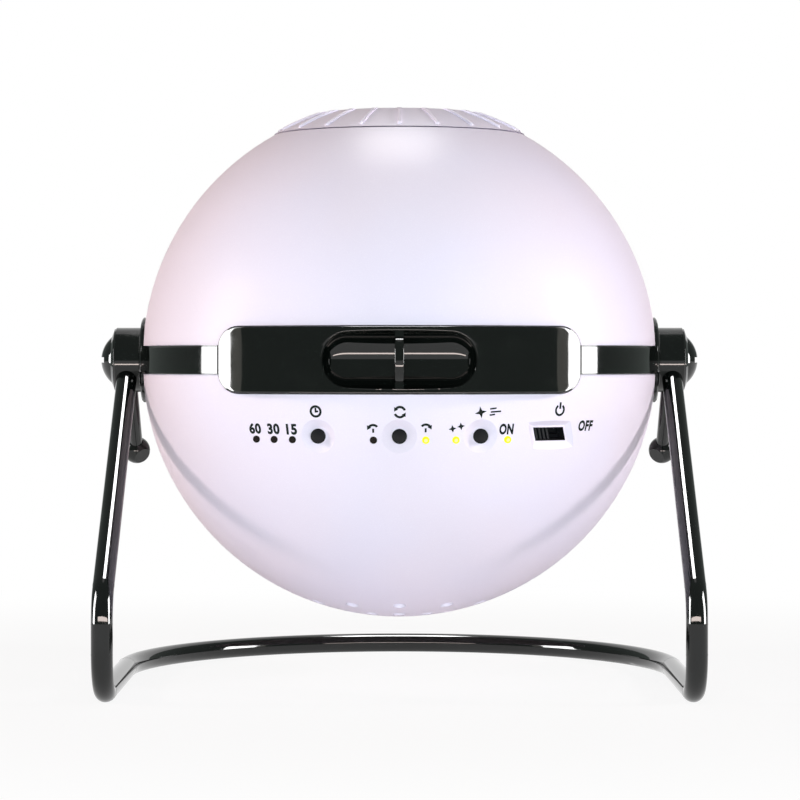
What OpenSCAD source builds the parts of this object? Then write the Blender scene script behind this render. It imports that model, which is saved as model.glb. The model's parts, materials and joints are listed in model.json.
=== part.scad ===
// Home planetarium projector: a ball on a bent rod stand.
// Lengths are in millimetres. +Z is up, -Y is the front, the stand rests on z = 0.
// Most modules work in the ball's own frame, whose centre is on the tilt axis.

/* [Ball] */
// Outer radius of the ball
ball_r = 72; // [70:0.5:76]
// Wall thickness of the two shells
shell_wall = 2.4; // [2:0.1:3]
// Height of the lip that joins the shells
lip_h = 2.2; // [1.6:0.1:3]
// Wall of the lip
lip_wall = 1.6; // [1.2:0.1:2]

/* [Focus ring] */
// Radius of the seam round the focus ring
seam_r = 35.1; // [34:0.1:37]
// Height of the focus ring above its seam
ring_h = 6.28; // [5.5:0.02:6.5]
// How far the focus ring stands proud of the ball
ring_proud = 0.25; // [0.1:0.05:0.4]
// Number of grip ribs
rib_count = 20; // [12:1:30]
// Width of a grip rib
rib_w = 1.3; // [0.8:0.1:2]
// Height of a grip rib
rib_h = 0.45; // [0.2:0.05:0.8]
// Distance from the seam to the ribs' lower ends
rib_inset = 1.1; // [0.6:0.1:2]
// Gap between the lens barrel and the mouth in the ring's flat top
mouth_gap = 1.6; // [1.4:0.1:2]
// Outer radius of the ring's skirt, which turns in the collar
skirt_r = 28.2; // [27:0.1:28.4]
// Depth of the collar under the seam
collar_h = 5.9; // [4:0.1:7]
// Turn of the focus ring each way, in degrees
focus_turn = 50; // [30:1:52]
// Travel of the lens barrel each way
focus_travel = 1.5; // [0.5:0.1:1.6]

/* [Equator band] */
// Height of the band
band_h = 7.63; // [6:0.1:9]
// How far the band stands proud of the ball
band_proud = 0.7; // [0.4:0.05:1.2]
// Depth of the groove that the band lies in
groove_depth = 0.8; // [0.5:0.05:1]

/* [Disc tray] */
// Width of the front panel
panel_w = 95; // [90:0.5:98]
// Height of the front panel
panel_h = 17.3; // [16.6:0.1:20]
// Thickness of the front panel
panel_t = 2.2; // [1.6:0.1:3]
// Corner radius of the front panel
panel_corner = 5.3; // [3:0.1:6]
// Rounding of the panel's front edges
panel_edge = 1.2; // [0.6:0.1:1.5]
// Width of the finger recess
recess_w = 40.6; // [36:0.1:44]
// Height of the finger recess
recess_h = 15.1; // [13:0.1:15.5]
// How far in front of the panel the recess's round axis lies
recess_lead = 1.2; // [0.8:0.1:2]
// Wall of the pocket behind the recess
pocket_wall = 0.95; // [0.7:0.05:1]
// Thickness of the fin in the recess
fin_t = 2.3; // [1.6:0.1:3]
// Margin of the tray beside the disc ring's teeth
tray_margin = 3.2; // [2.8:0.1:4]
// Thickness of the tray's plate
tray_t = 2.4; // [1.8:0.1:2.8]
// How far the tray slides out
tray_travel = 80; // [60:1:80]
// Radius of the light hole in the tray
light_r = 27; // [25:0.1:27]

/* [Star disc] */
// Radius of the star disc
disc_r = 30; // [29.5:0.1:30.2]
// Thickness of the star disc
disc_t = 1; // [0.8:0.1:1.2]
// Number of teeth on the disc ring
ring_teeth = 68; // [68:4:68]
// Number of teeth on the motor's pinion
pinion_teeth = 12; // [12:1:14]
// Gear module: pitch diameter over teeth
gear_module = 1; // [0.96:0.01:1]
// Face width of the disc ring
gear_w = 3.5; // [3:0.1:4]

/* [Hubs] */
// Radius of the hub flange on the ball
flange_r = 11.95; // [11:0.05:13]
// Thickness of the hub flange
flange_t = 1.78; // [1.4:0.02:2.2]
// How far the flange's face stands beyond the ball
flange_proud = 0.28; // [0.1:0.02:0.5]
// Outer radius of the flange's bush
bush_r = 5; // [4:0.1:6]
// Length of the bush behind the flange
bush_l = 6; // [4.5:0.1:7]
// Radius of the pivot bolt
bolt_r = 2; // [1.5:0.1:2.5]
// Radius of the hub boss
boss_r = 9.06; // [8.6:0.02:10]
// Length of the hub boss
boss_l = 7.1; // [6.6:0.1:8]
// Radius of the cavity in the boss
cavity_r = 5.6; // [5.2:0.1:6]
// Wall behind the cavity
boss_back = 1.3; // [1:0.1:1.6]
// Thickness of the boss's cover
cover_t = 0.95; // [0.8:0.05:1.4]
// Radius of the bolt's domed head
dome_r = 6.64; // [6:0.02:7]
// Height of the bolt's domed head
dome_h = 3.2; // [2.4:0.1:4]
// Width of the coin slot in the head
coin_slot = 1.5; // [1:0.1:2]
// Depth of the coin slot in the head
coin_depth = 1.1; // [0.6:0.1:1.4]

/* [Stand] */
// Diameter of the stand's rod
rod_d = 5.64; // [5:0.02:6]
// Depth of the flat under the base rod
foot_flat = 0.25; // [0.1:0.05:0.4]
// Gap between the ball and the base rod's axis, measured straight down
under_gap = 13.9; // [12.5:0.1:18]
// Lean of the legs from the vertical, in degrees
leg_lean = 52.1; // [51:0.1:54]
// How far the legs reach in front of the tilt axis
leg_reach = 79.3; // [76:0.1:80]
// Bend radius at the knee
knee_bend = 12; // [9:0.5:13]
// Bend radius at the front foot
foot_bend = 10.5; // [8:0.5:11]
// How far in front of the tilt axis the base's round part begins
loop_lead = 8.05; // [4:0.05:14]

/* [Levers] */
// Diameter of the lever's rod
lever_d = 3.7; // [3:0.1:4]
// Distance from the tilt axis to the knob's centre
lever_reach = 36.9; // [32:0.1:42]
// Angle of the lever behind the vertical, in degrees
lever_angle = 45; // [42:0.5:50]
// Swing of the lever, in degrees
lever_swing = 50; // [30:1:60]
// Diameter of the ball knob
knob_d = 7.75; // [7:0.05:9]
// Radius of the lever's eye
eye_r = 5.2; // [4.8:0.1:5.2]
// Depth of the flat on the knob
knob_flat = 0.9; // [0.5:0.1:1.2]

/* [Controls] */
// Latitude of the buttons and dots' row, in degrees
row_lat = -16; // [-18:0.5:-15]
// Side angle of the outer buttons, in degrees
button_az = 17.8; // [16:0.1:20]
// Radius of a button
button_r = 1.94; // [1.6:0.02:2.2]
// Travel of a button
button_travel = 0.9; // [0.5:0.1:1]
// Radius of the dish round a button
dish_r = 4.6; // [4:0.1:5]
// Depth of the dish round a button
dish_depth = 1.2; // [0.8:0.05:1.3]
// Radius of an indicator dot
dot_r = 0.92; // [0.7:0.02:1.1]
// Latitude of the dots, in degrees
dot_lat = -16.8; // [-18:0.1:-16]
// Side angles of the unlit dots, in degrees
dark_az = [-33, -28.4, -23.9, -5.6];
// Side angles of the lit dots, in degrees
lit_az = [5.7, 12.3, 24.2];
// Distance of the control board from the ball's centre plane
board_y = 46; // [45:0.1:47]
// Thickness of the circuit boards
board_t = 1.6; // [1:0.1:2]

/* [Power switch] */
// Side angle of the switch, in degrees
switch_az = 35.5; // [34:0.1:37]
// Width of the recess round the switch
bezel_w = 16.6; // [15:0.1:18]
// Height of the recess round the switch
bezel_h = 9.7; // [9:0.1:11]
// Depth of the recess
bezel_depth = 1.3; // [0.8:0.1:1.6]
// Width of the switch's window
window_w = 10.05; // [9:0.05:11]
// Height of the switch's window
window_h = 3.7; // [3.2:0.1:4.4]
// Slant of the switch's upright edges, in degrees
slant = 23.5; // [0:0.5:26]
// Width of the sliding knob
slider_w = 5.2; // [4.6:0.1:5.6]

/* [Vents] */
// Radius of a vent hole
vent_r = 1.8; // [1.2:0.1:2.2]
// Number of vent holes in a ring
vent_count = 12; // [8:1:14]
// Distance of the inner vent ring from the ball's axis
vent_inner = 15.3; // [13:0.1:17]
// Distance of the outer vent ring from the ball's axis
vent_outer = 25.8; // [24:0.1:28]

/* [Optics] */
// Thickness of the optics deck
deck_t = 2; // [1.6:0.1:2.4]
// Radius of the optics deck
deck_r = 61; // [60:0.1:62]
// Outer radius of the lens barrel
barrel_r = 17.3; // [17:0.1:17.4]
// Wall of the lens barrel round the front lens
barrel_wall = 3.3; // [2.8:0.1:4]
// Radius of the condenser lens
condenser_r = 17; // [16:0.1:18]
// Length of the lens guide tube
guide_l = 24; // [20:0.5:25]
// Thickness of the lens bridge's plate and cheeks
bridge_t = 2.6; // [2:0.1:3]
// Number of fins on the heat sink
fin_count = 7; // [5:1:9]
// Radius of the drive motor
motor_r = 8.5; // [7:0.1:9]
// Height of the drive motor
motor_h = 17; // [14:0.5:18]

/* [Fits] */
// Radial clearance of a shaft in its bore
run_fit = 0.05; // [0.03:0.01:0.08]
// Gap between pieces that move past each other
move_gap = 0.3; // [0.25:0.05:0.4]
// Gap round pieces that are set into each other
seat_gap = 0.1; // [0.05:0.01:0.15]

/* [Hidden] */
$fn = 72;
eps = 0.01;
big = 400;

// Colours
pearl = [0.88, 0.84, 0.90];
black = [0.05, 0.06, 0.055];
dark_grey = [0.2, 0.2, 0.21];
steel = [0.7, 0.7, 0.72];
board_green = [0.08, 0.3, 0.18];
lens_blue = [0.7, 0.82, 0.9, 0.5];
amber = [0.95, 0.9, 0.2];

// Ball and band
inner_r = ball_r - shell_wall;
groove_r = ball_r - groove_depth;
band_r = ball_r + band_proud;

// Hub stack along X, from the ball outwards
flange_face = ball_r + flange_proud;
flange_back = flange_face - flange_t;
boss_in = flange_face + move_gap;
leg_x = boss_in + boss_l / 2;
boss_out = boss_in + boss_l;
cover_out = boss_out + cover_t;
dome_out = cover_out + dome_h;
bush_end = flange_back - bush_l;
nut_t = 3;
nut_r = 3.9;
edge_break = 0.35;
pad_r = flange_r + 1.5;
pad_l = 4;

// Stand
rod_r = rod_d / 2;
hub_z = ball_r + under_gap + rod_r - foot_flat;
base_z = rod_r - foot_flat;
hub_y = (leg_reach + rod_r - band_r) / 2;
base_drop = hub_z - base_z;
knee_drop = leg_reach / tan(leg_lean);
knee_tangent = knee_bend * tan(leg_lean / 2);
socket_r = cavity_r + move_gap;

// Levers
lever_r = lever_d / 2;
knob_r = knob_d / 2;
window_half = lever_r + move_gap;
window_swing = asin(window_half / cavity_r);

// Tray and star disc, heights from the tilt axis
panel_in = ball_r + move_gap;
panel_out = panel_in + panel_t;
recess_axis = panel_out + recess_lead;
recess_tube = sqrt(pow(recess_h / 2, 2) + pow(recess_lead, 2));
recess_end = recess_w / 2 - recess_h / 2 + 0.85;
pocket_tube = recess_tube + pocket_wall;
tray_top = -1.6;
tray_bottom = tray_top - tray_t;
ring_pitch = ring_teeth * gear_module / 2;
tooth_out = 0.8;
tooth_in = 1.15;
ring_tip_r = ring_pitch + tooth_out * gear_module;
tray_half = ring_tip_r + tray_margin;
tray_rear = ring_tip_r + 2.6;
tray_arm_rear = sqrt(pow(inner_r, 2) - pow(tray_half, 2)) - 6.3;
tray_arm_w = 7.6;
gear_bottom = tray_top + move_gap;
gear_top = gear_bottom + gear_w;
ledge_r = disc_r - 1.5;
ledge_z = gear_bottom + 1.7;
collar_top = gear_bottom + 1.1;
tray_collar_r = ledge_r + 0.9;
pinion_pitch = pinion_teeth * gear_module / 2;
pinion_y = ring_pitch + pinion_pitch;
backlash = 0.12;

// Opening in the shells behind the panel
slot_half_w = tray_half + 2.4;
slot_half_h = panel_h / 2 - 2.2;
front_cut = 30;
lug_x = 29;
lug_w = 6;
lug_h = 4.2;
tray_screw_r = 0.9;
tray_head_r = 1.8;
tray_screw_y = -(sqrt(pow(panel_in - tray_head_r - 0.8, 2) - pow(lug_x, 2)));
lug_d = panel_out + tray_screw_y + tray_head_r + 1.2;

// Optics, heights from the tilt axis
deck_top = tray_bottom - 2.2;
deck_bottom = deck_top - deck_t;
rail_w = 5;
rail_in = ring_tip_r + move_gap;
rail_out = tray_half + move_gap + rail_w;
rail_front = -(sqrt(pow(inner_r, 2) - pow(rail_out, 2)) - 2.5);
rail_rear = sqrt(pow(inner_r, 2) - pow(rail_out, 2)) - 10.5;
seam_z = sqrt(pow(ball_r, 2) - pow(seam_r, 2));
ring_bottom = seam_z + move_gap;
rim_z = seam_z + ring_h;
ring_out = ball_r + ring_proud;
collar_in = skirt_r + run_fit;
collar_out = collar_in + 3.2;
collar_bottom = seam_z - collar_h;
mouth_r = barrel_r + mouth_gap;
lens_r = barrel_r - barrel_wall;
cam_in = barrel_r + 0.6;
cam_out = mouth_r + 1.2;
cam_bottom = seam_z - 8;
cam_top = seam_z + 0.2;
pin_r = 1.1;
pin_z = (cam_bottom + cam_top) / 2;
pin_count = 3;
cam_flange_t = 1;
cam_slope = focus_travel / focus_turn;
cam_sweep = focus_turn + asin((pin_r + move_gap) / cam_in);
barrel_top = rim_z - 4.2;
barrel_bottom = 38;
guide_top = cam_bottom - 1;
guide_bottom = guide_top - guide_l;
bridge_x = tray_half + rail_w + 5;
bridge_y = 17;
foot_w = 7;
front_lens_z = barrel_top - 9;
front_lens_seat = 1;
front_lens_rim = 1.2;
front_lens_bulge = 3.4;
hood_bottom = front_lens_z + front_lens_seat + front_lens_rim / 2 + front_lens_bulge + 0.4;
rear_lens_z = 43;
post_x = 43;
post_y = 38;
post_r = 3.2;
screw_r = 1.1;
head_r = 2;
head_t = 1.3;
deck_screw_l = 8;
bridge_screw_l = 6;
condenser_top = deck_bottom - 0.8;
holder_r = condenser_r + 3;
holder_h = 15;
lamp_z = condenser_top - holder_h;
sink_t = 3;
sink_h = 15;

// Controls: the buttons, dots and their pipes lie along Y
row_z = ball_r * sin(row_lat);
dot_z = ball_r * sin(dot_lat);
button_angles = [-button_az, 0, button_az];
board_top = -10;
board_bottom = -30;
board_left = 0.75 - sqrt(pow(inner_r, 2) - pow(board_bottom, 2) - pow(board_y, 2));
board_right = 28;
tact_h = 3.2;
tact_w = 6;
stem_r = 1.3;
collar_t = 1;
sleeve_l = 5.6;
sleeve_r = button_r + 1.7;
button_flange_r = button_r + 1.2;
board_screw_x = [-30, 22];
board_screw_z = -27;

// Power switch: heights outwards from the ball's centre
window_floor = ball_r - bezel_depth;
switch_face = ball_r - 4.4;
switch_depth = 5;
slider_travel = window_w - slider_w - 0.5;

// Frames and small helpers

module at_ball() translate([0, hub_y, hub_z]) children();

module on_side(side) at_ball() scale_x(side) children();

module scale_x(side) {
  if (side < 0) mirror([1, 0, 0]) children();
  else children();
}

module along_x() rotate([0, 90, 0]) children();

module along_y() rotate([-90, 0, 0]) children();

// Turns the outward direction -Y to a side angle and a latitude of the ball
module facing(az, lat) rotate([-lat, 0, az]) children();

// A round bar along X between two places
module x_bar(r, from, to) translate([from, 0, 0]) along_x() cylinder(r = r, h = to - from);

// A round bar along Y between two places
module y_bar(r, from, to) translate([0, from, 0]) along_y() cylinder(r = r, h = to - from);

// A tube along Z between two heights
module z_tube(r_out, r_in, from, to) {
  translate([0, 0, from]) difference() {
    cylinder(r = r_out, h = to - from);
    translate([0, 0, -1]) cylinder(r = r_in, h = to - from + 2);
  }
}

module rounded_rect(w, h, r) {
  union() {
    square([w - 2 * r, h], center = true);
    square([w, h - 2 * r], center = true);
    for (sx = [-1, 1], sy = [-1, 1])
      translate([sx * (w / 2 - r), sy * (h / 2 - r)]) circle(r = r);
  }
}

// The Y of the ball's surface at a side angle and a height
function surface_y(r, x, z) = -sqrt(r * r - x * x - z * z);

function button_x(az) = ball_r * cos(row_lat) * sin(az);

function button_face(az) = surface_y(ball_r, button_x(az), row_z) - 0.25;

function dot_x(az) = ball_r * cos(dot_lat) * sin(az);

// Stand

// A round bend in the plane of a leg, from one angle on over a sweep.
// Angle 0 points forwards and 90 points up, seen from the left side.
module bend(radius, from, sweep) {
  rotate([90, 0, -90]) rotate([0, 0, from]) rotate_extrude(angle = sweep)
    translate([radius, 0]) circle(r = rod_r);
}

// A hair-thin sleeve along Z over the joint of a straight stretch and a bend
module rod_joint() cylinder(r = rod_r + 0.02, h = 0.4, center = true);

module stand_leg() {
  knee_z = -knee_drop - knee_tangent;
  leg_l = leg_reach / sin(leg_lean) - knee_tangent - socket_r;
  foot_z = foot_bend - base_drop;
  translate([0, knee_bend - leg_reach, knee_z]) {
    bend(knee_bend, 0, leg_lean);
    translate([0, -knee_bend, 0]) rod_joint();
    rotate([-leg_lean, 0, 0]) translate([0, -knee_bend, 0]) {
      cylinder(r = rod_r, h = leg_l);
      rod_joint();
    }
  }
  translate([0, -leg_reach, foot_z]) {
    cylinder(r = rod_r, h = knee_z - foot_z);
    rod_joint();
    translate([0, foot_bend, 0]) bend(foot_bend, -90, 90);
  }
  translate([0, foot_bend - leg_reach, -base_drop]) along_y() {
    cylinder(r = rod_r, h = leg_reach - foot_bend - loop_lead);
    rod_joint();
    translate([0, 0, leg_reach - foot_bend - loop_lead]) rod_joint();
  }
}

module stand_frame() {
  color(black) difference() {
    at_ball() {
      for (side = [-1, 1]) translate([side * leg_x, 0, 0]) stand_leg();
      translate([0, -loop_lead, -base_drop]) rotate_extrude(angle = 180)
        translate([leg_x, 0]) circle(r = rod_r);
    }
    translate([-big / 2, -big / 2, -big]) cube(big);
  }
}

// The wedge that the lever's rod sweeps in the boss's wall, in the plane of the lever
module lever_window() {
  start = lever_angle - window_swing;
  end = lever_angle + lever_swing + window_swing;
  reach = 2 * boss_r;
  steps = 6;
  translate([leg_x - window_half, 0, 0]) rotate([90, 0, 90])
    linear_extrude(2 * window_half)
      polygon(concat([[0, 0]], [for (i = [0:steps])
        let (a = start + (end - start) * i / steps) reach * [sin(a), -cos(a)]]));
}

module hub_boss(side) {
  color(black) on_side(side) difference() {
    along_x() rotate_extrude() polygon([
      [bolt_r + run_fit, boss_in], [boss_r, boss_in], [boss_r, boss_out - edge_break],
      [boss_r - edge_break, boss_out], [bolt_r + run_fit, boss_out]
    ]);
    x_bar(cavity_r, boss_in + boss_back, boss_out + 1);
    intersection() {
      lever_window();
      x_bar(2 * boss_r, boss_in, boss_out);
    }
    translate([leg_x, 0, 0]) rotate([-leg_lean, 0, 0]) mirror([0, 0, 1])
      translate([0, 0, socket_r]) cylinder(r = rod_r + seat_gap / 2, h = boss_r);
  }
}

module hub_cover(side) {
  spigot_in = leg_x + lever_r + move_gap;
  color(black) on_side(side) along_x() rotate_extrude() polygon([
    [bolt_r + seat_gap, spigot_in], [cavity_r - seat_gap, spigot_in],
    [cavity_r - seat_gap, boss_out], [boss_r - edge_break, boss_out],
    [boss_r - edge_break, boss_out + 0.2], [dome_r + 0.25, cover_out],
    [bolt_r + seat_gap, cover_out]
  ]);
}

module pivot_bolt(side) {
  dome_ball = (pow(dome_r, 2) + pow(dome_h, 2)) / (2 * dome_h);
  color(black) on_side(side) difference() {
    along_x() rotate_extrude() union() {
      translate([0, bush_end - nut_t - 1]) square([bolt_r, cover_out - bush_end + nut_t + 1.5]);
      intersection() {
        translate([0, dome_out - dome_ball]) circle(r = dome_ball);
        translate([0, cover_out]) square([dome_r + 1, dome_h + 1]);
      }
    }
    translate([dome_out - coin_depth, -dome_r, -coin_slot / 2])
      cube([dome_h, 2 * dome_r, coin_slot]);
  }
}

module pivot_nuts() {
  color(steel) for (side = [-1, 1]) on_side(side) difference() {
    translate([bush_end - move_gap - nut_t, 0, 0]) along_x() cylinder(r = nut_r, h = nut_t, $fn = 6);
    x_bar(bolt_r + seat_gap / 2, bush_end - nut_t - 2, bush_end + 1);
  }
}

// Places its children in the lever's own frame, the rod pointing along -Z
module lever_frame(side) {
  on_side(side) translate([leg_x, 0, 0]) rotate([lever_angle, 0, 0]) children();
}

module lever(side) {
  color(black) lever_frame(side) difference() {
    union() {
      x_bar(eye_r, -lever_r, lever_r);
      translate([0, 0, -lever_reach + 0.5]) cylinder(r = lever_r, h = lever_reach - eye_r + 0.5);
    }
    x_bar(bolt_r + run_fit, -lever_r - 1, lever_r + 1);
  }
}

module lever_knob(side) {
  color(black) lever_frame(side) translate([0, 0, -lever_reach]) difference() {
    sphere(r = knob_r);
    translate([0, 0, 0.4]) cylinder(r = lever_r + seat_gap / 2, h = knob_r + 1);
    rotate([0, 0, -35]) translate([-knob_r, knob_flat - 2 * knob_r, -knob_r])
      cube([2 * knob_r, knob_r, 2 * knob_r]);
  }
}

// Shells

// The sphere wall with its hub pads, seats, groove and tray opening
module casing() {
  difference() {
    sphere(r = ball_r, $fn = 120);
    difference() {
      sphere(r = inner_r, $fn = 120);
      for (side = [-1, 1]) scale_x(side) x_bar(pad_r, flange_back - pad_l, ball_r + 1);
    }
    for (side = [-1, 1]) scale_x(side) {
      x_bar(flange_r + seat_gap, flange_back, ball_r + 2);
      x_bar(bush_r + seat_gap / 2, ball_r / 2, ball_r + 2);
    }
    band_groove();
    tray_opening();
    shell_screw_holes();
  }
}

module band_groove() {
  difference() {
    z_tube(ball_r + 2, groove_r, -band_h / 2 - seat_gap, band_h / 2 + seat_gap);
    translate([-panel_w / 2 + 3, -big, -band_h]) cube([panel_w - 6, big, 2 * band_h]);
  }
}

module tray_opening() {
  translate([-slot_half_w, -big, -slot_half_h])
    cube([2 * slot_half_w, big - front_cut, 2 * slot_half_h]);
  recess_shape(pocket_tube + move_gap);
}

// The round-ended trough of the finger recess, revolved round its axis along X
module recess_shape(tube) {
  translate([0, -recess_axis, 0]) along_x() rotate_extrude() intersection() {
    union() {
      translate([-tube, -recess_end]) square([2 * tube, 2 * recess_end]);
      for (s = [-1, 1]) translate([0, s * recess_end]) circle(r = tube);
    }
    translate([0, -big / 2]) square([big, big]);
  }
}

shell_screw_az = [-118, -62, 62, 118, 165, -165];
shell_screw_l = 3.2;

module at_shell_screws() {
  for (az = shell_screw_az) rotate([0, 0, az]) translate([0, 0, lip_h / 2 + 0.2]) children();
}

module shell_screw_holes() {
  at_shell_screws() {
    y_bar(head_r * 0.7 + seat_gap, -ball_r - 1, -groove_r + 0.7);
    y_bar(0.6 + seat_gap, -ball_r - 1, -inner_r + 4);
  }
}

module shell_screws() {
  color(steel) at_ball() at_shell_screws() {
    y_bar(head_r * 0.7, -groove_r + 0.05, -groove_r + 0.65);
    y_bar(0.6, -groove_r + 0.6, -groove_r + shell_screw_l);
  }
}

module upper_shell() {
  color(pearl) at_ball() {
    difference() {
      casing();
      translate([-big / 2, -big / 2, -big]) cube(big);
      translate([-big / 2, -big / 2, seam_z]) cube(big);
    }
    z_tube(collar_out, collar_in, collar_bottom, seam_z);
  }
}

module lower_lip() {
  lip_out = inner_r - seat_gap - 0.05;
  difference() {
    rotate_extrude($fn = 120) polygon([
      [lip_out - lip_wall, -3], [inner_r + 0.6, -3], [inner_r + 0.6, -0.4],
      [lip_out - 0.1, -0.4], [lip_out - 0.1, lip_h], [lip_out - lip_wall, lip_h]
    ]);
    translate([-slot_half_w - 1, -big, -big / 2])
      cube([2 * slot_half_w + 2, big - front_cut, big]);
    for (side = [-1, 1]) scale_x(side) x_bar(pad_r + 0.5, ball_r / 2, ball_r + 2);
    shell_screw_holes();
  }
}

module deck_posts() {
  for (sx = [-1, 1], sy = [-1, 1]) intersection() {
    translate([sx * post_x, sy * post_y, -ball_r]) difference() {
      cylinder(r = post_r, h = ball_r + deck_bottom);
      translate([0, 0, ball_r + deck_bottom - 8]) cylinder(r = screw_r + run_fit, h = 10);
    }
    sphere(r = inner_r + 0.6, $fn = 120);
  }
}

module board_posts() {
  for (x = board_screw_x) translate([x, 0, board_screw_z]) intersection() {
    difference() {
      y_bar(2.4, -ball_r, -board_y);
      y_bar(0.8 + run_fit, -board_y - 5, -board_y + 1);
    }
    translate([-x, 0, -board_screw_z]) sphere(r = inner_r + 0.6, $fn = 120);
  }
}

module button_sleeves() {
  for (az = button_angles) translate([button_x(az), 0, row_z]) intersection() {
    y_bar(sleeve_r, -ball_r, button_face(az) + sleeve_l);
    translate([-button_x(az), 0, -row_z]) sphere(r = inner_r + 0.6, $fn = 120);
  }
}

module button_cuts() {
  edge_y = sqrt(pow(ball_r, 2) - pow(dish_r, 2));
  floor_y = ball_r - dish_depth;
  floor_r = button_r + 0.4;
  past = 1;
  rim_r = dish_r + past * (dish_r - floor_r) / (edge_y - floor_y);
  for (az = button_angles) {
    translate([button_x(az), 0, row_z]) y_bar(button_r + run_fit, -big / 2, -board_y - 5);
    facing(az, row_lat) translate([0, -edge_y - past, 0]) along_y()
      cylinder(r1 = rim_r, r2 = floor_r, h = edge_y + past - floor_y);
  }
}

module dot_cuts() {
  for (az = concat(dark_az, lit_az))
    translate([dot_x(az), 0, dot_z]) y_bar(dot_r + run_fit, -big / 2, -board_y - 1);
}

module slanted(w, h) {
  lean = h / 2 * tan(slant);
  polygon([[-w / 2 + lean, -h / 2], [w / 2 + lean, -h / 2], [w / 2 - lean, h / 2], [-w / 2 - lean, h / 2]]);
}

// Extrudes a flat shape outwards between two distances from the ball's centre
module outwards(from, to) translate([0, -from, 0]) rotate([90, 0, 0]) linear_extrude(to - from) children();

module switch_cuts() {
  facing(switch_az, row_lat) {
    hull() {
      outwards(window_floor - eps, window_floor) slanted(window_w + 1, window_h + 1);
      outwards(ball_r + 0.9, ball_r + 0.9 + eps) slanted(bezel_w + 1.6, bezel_h + 1.2);
    }
    outwards(switch_face - 3, ball_r) slanted(window_w, window_h);
  }
}

module switch_pad() {
  intersection() {
    facing(switch_az, row_lat) outwards(switch_face, ball_r)
      square([bezel_w + 2, bezel_h + 1], center = true);
    sphere(r = inner_r + 0.6, $fn = 120);
  }
}

module vent_cuts() {
  for (ring_r = [vent_outer, vent_inner], i = [0:vent_count - 1])
    rotate([0, 0, i * 360 / vent_count])
      translate([0, -ring_r, -ball_r - 1]) cylinder(r = vent_r, h = 20, $fn = 24);
}

inlet_lat = -20;
inlet_r = 4.6;
inlet_bore_r = 2.9;
inlet_pin_r = 1;
inlet_neck = 6;
inlet_body = 5;

module inlet_cut() {
  facing(180, inlet_lat) {
    y_bar(inlet_r + seat_gap, -ball_r - 1, inlet_neck - ball_r);
  }
}

module lower_shell() {
  color(pearl) at_ball() difference() {
    union() {
      difference() {
        casing();
        translate([-big / 2, -big / 2, 0]) cube(big);
      }
      lower_lip();
      deck_posts();
      board_posts();
      button_sleeves();
      switch_pad();
    }
    button_cuts();
    dot_cuts();
    switch_cuts();
    vent_cuts();
    inlet_cut();
  }
}

// A stretch of the band between two side angles, clear of the hub flanges
module band(from, to) {
  difference() {
    rotate([0, 0, from - 90]) rotate_extrude(angle = to - from, $fn = 120)
      translate([groove_r, -band_h / 2]) square([band_r - groove_r, band_h]);
    for (side = [-1, 1]) scale_x(side) x_bar(flange_r + seat_gap + 0.1, ball_r / 2, ball_r + 2);
  }
}

// The band's front pieces end beside the panel's inner edge
band_start = asin((panel_w / 2 + move_gap) / panel_in);

module band_front(side) color(black) on_side(side) band(band_start, 90);

module band_rear() color(black) at_ball() band(90, 270);

module hub_flange(side) {
  color(black) on_side(side) along_x() rotate_extrude() polygon([
    [bolt_r + run_fit, bush_end], [bush_r, bush_end], [bush_r, flange_back],
    [flange_r, flange_back], [flange_r, flange_face - 0.5], [flange_r - 0.5, flange_face - 0.1],
    [flange_r - 1.1, flange_face], [boss_r + 1, flange_face - 0.25], [boss_r + 0.4, flange_face],
    [bolt_r + run_fit, flange_face]
  ]);
}

// Optics and chassis

module optics_deck() {
  color(dark_grey) at_ball() difference() {
    translate([0, 0, deck_bottom]) cylinder(r = deck_r, h = deck_t);
    translate([0, 0, deck_bottom - 1]) cylinder(r = condenser_r + 0.5, h = deck_t + 2);
    translate([0, pinion_y, deck_bottom - 1]) cylinder(r = 3.4, h = deck_t + 2);
    for (sx = [-1, 1], sy = [-1, 1]) translate([sx * post_x, sy * post_y, deck_bottom - 1])
      cylinder(r = screw_r + seat_gap, h = deck_t + 2);
    for (sx = [-1, 1], sy = [-1, 1])
      translate([sx * (bridge_x + bridge_t + foot_w / 2), sy * bridge_y / 2, deck_bottom - 1])
        cylinder(r = screw_r + seat_gap, h = deck_t + 2);
  }
}

module screw(length) {
  translate([0, 0, -length]) cylinder(r = screw_r, h = length + eps);
  cylinder(r = head_r, h = head_t);
}

module deck_screws() {
  color(steel) at_ball() for (sx = [-1, 1], sy = [-1, 1])
    translate([sx * post_x, sy * post_y, deck_top]) screw(deck_screw_l);
}

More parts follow.
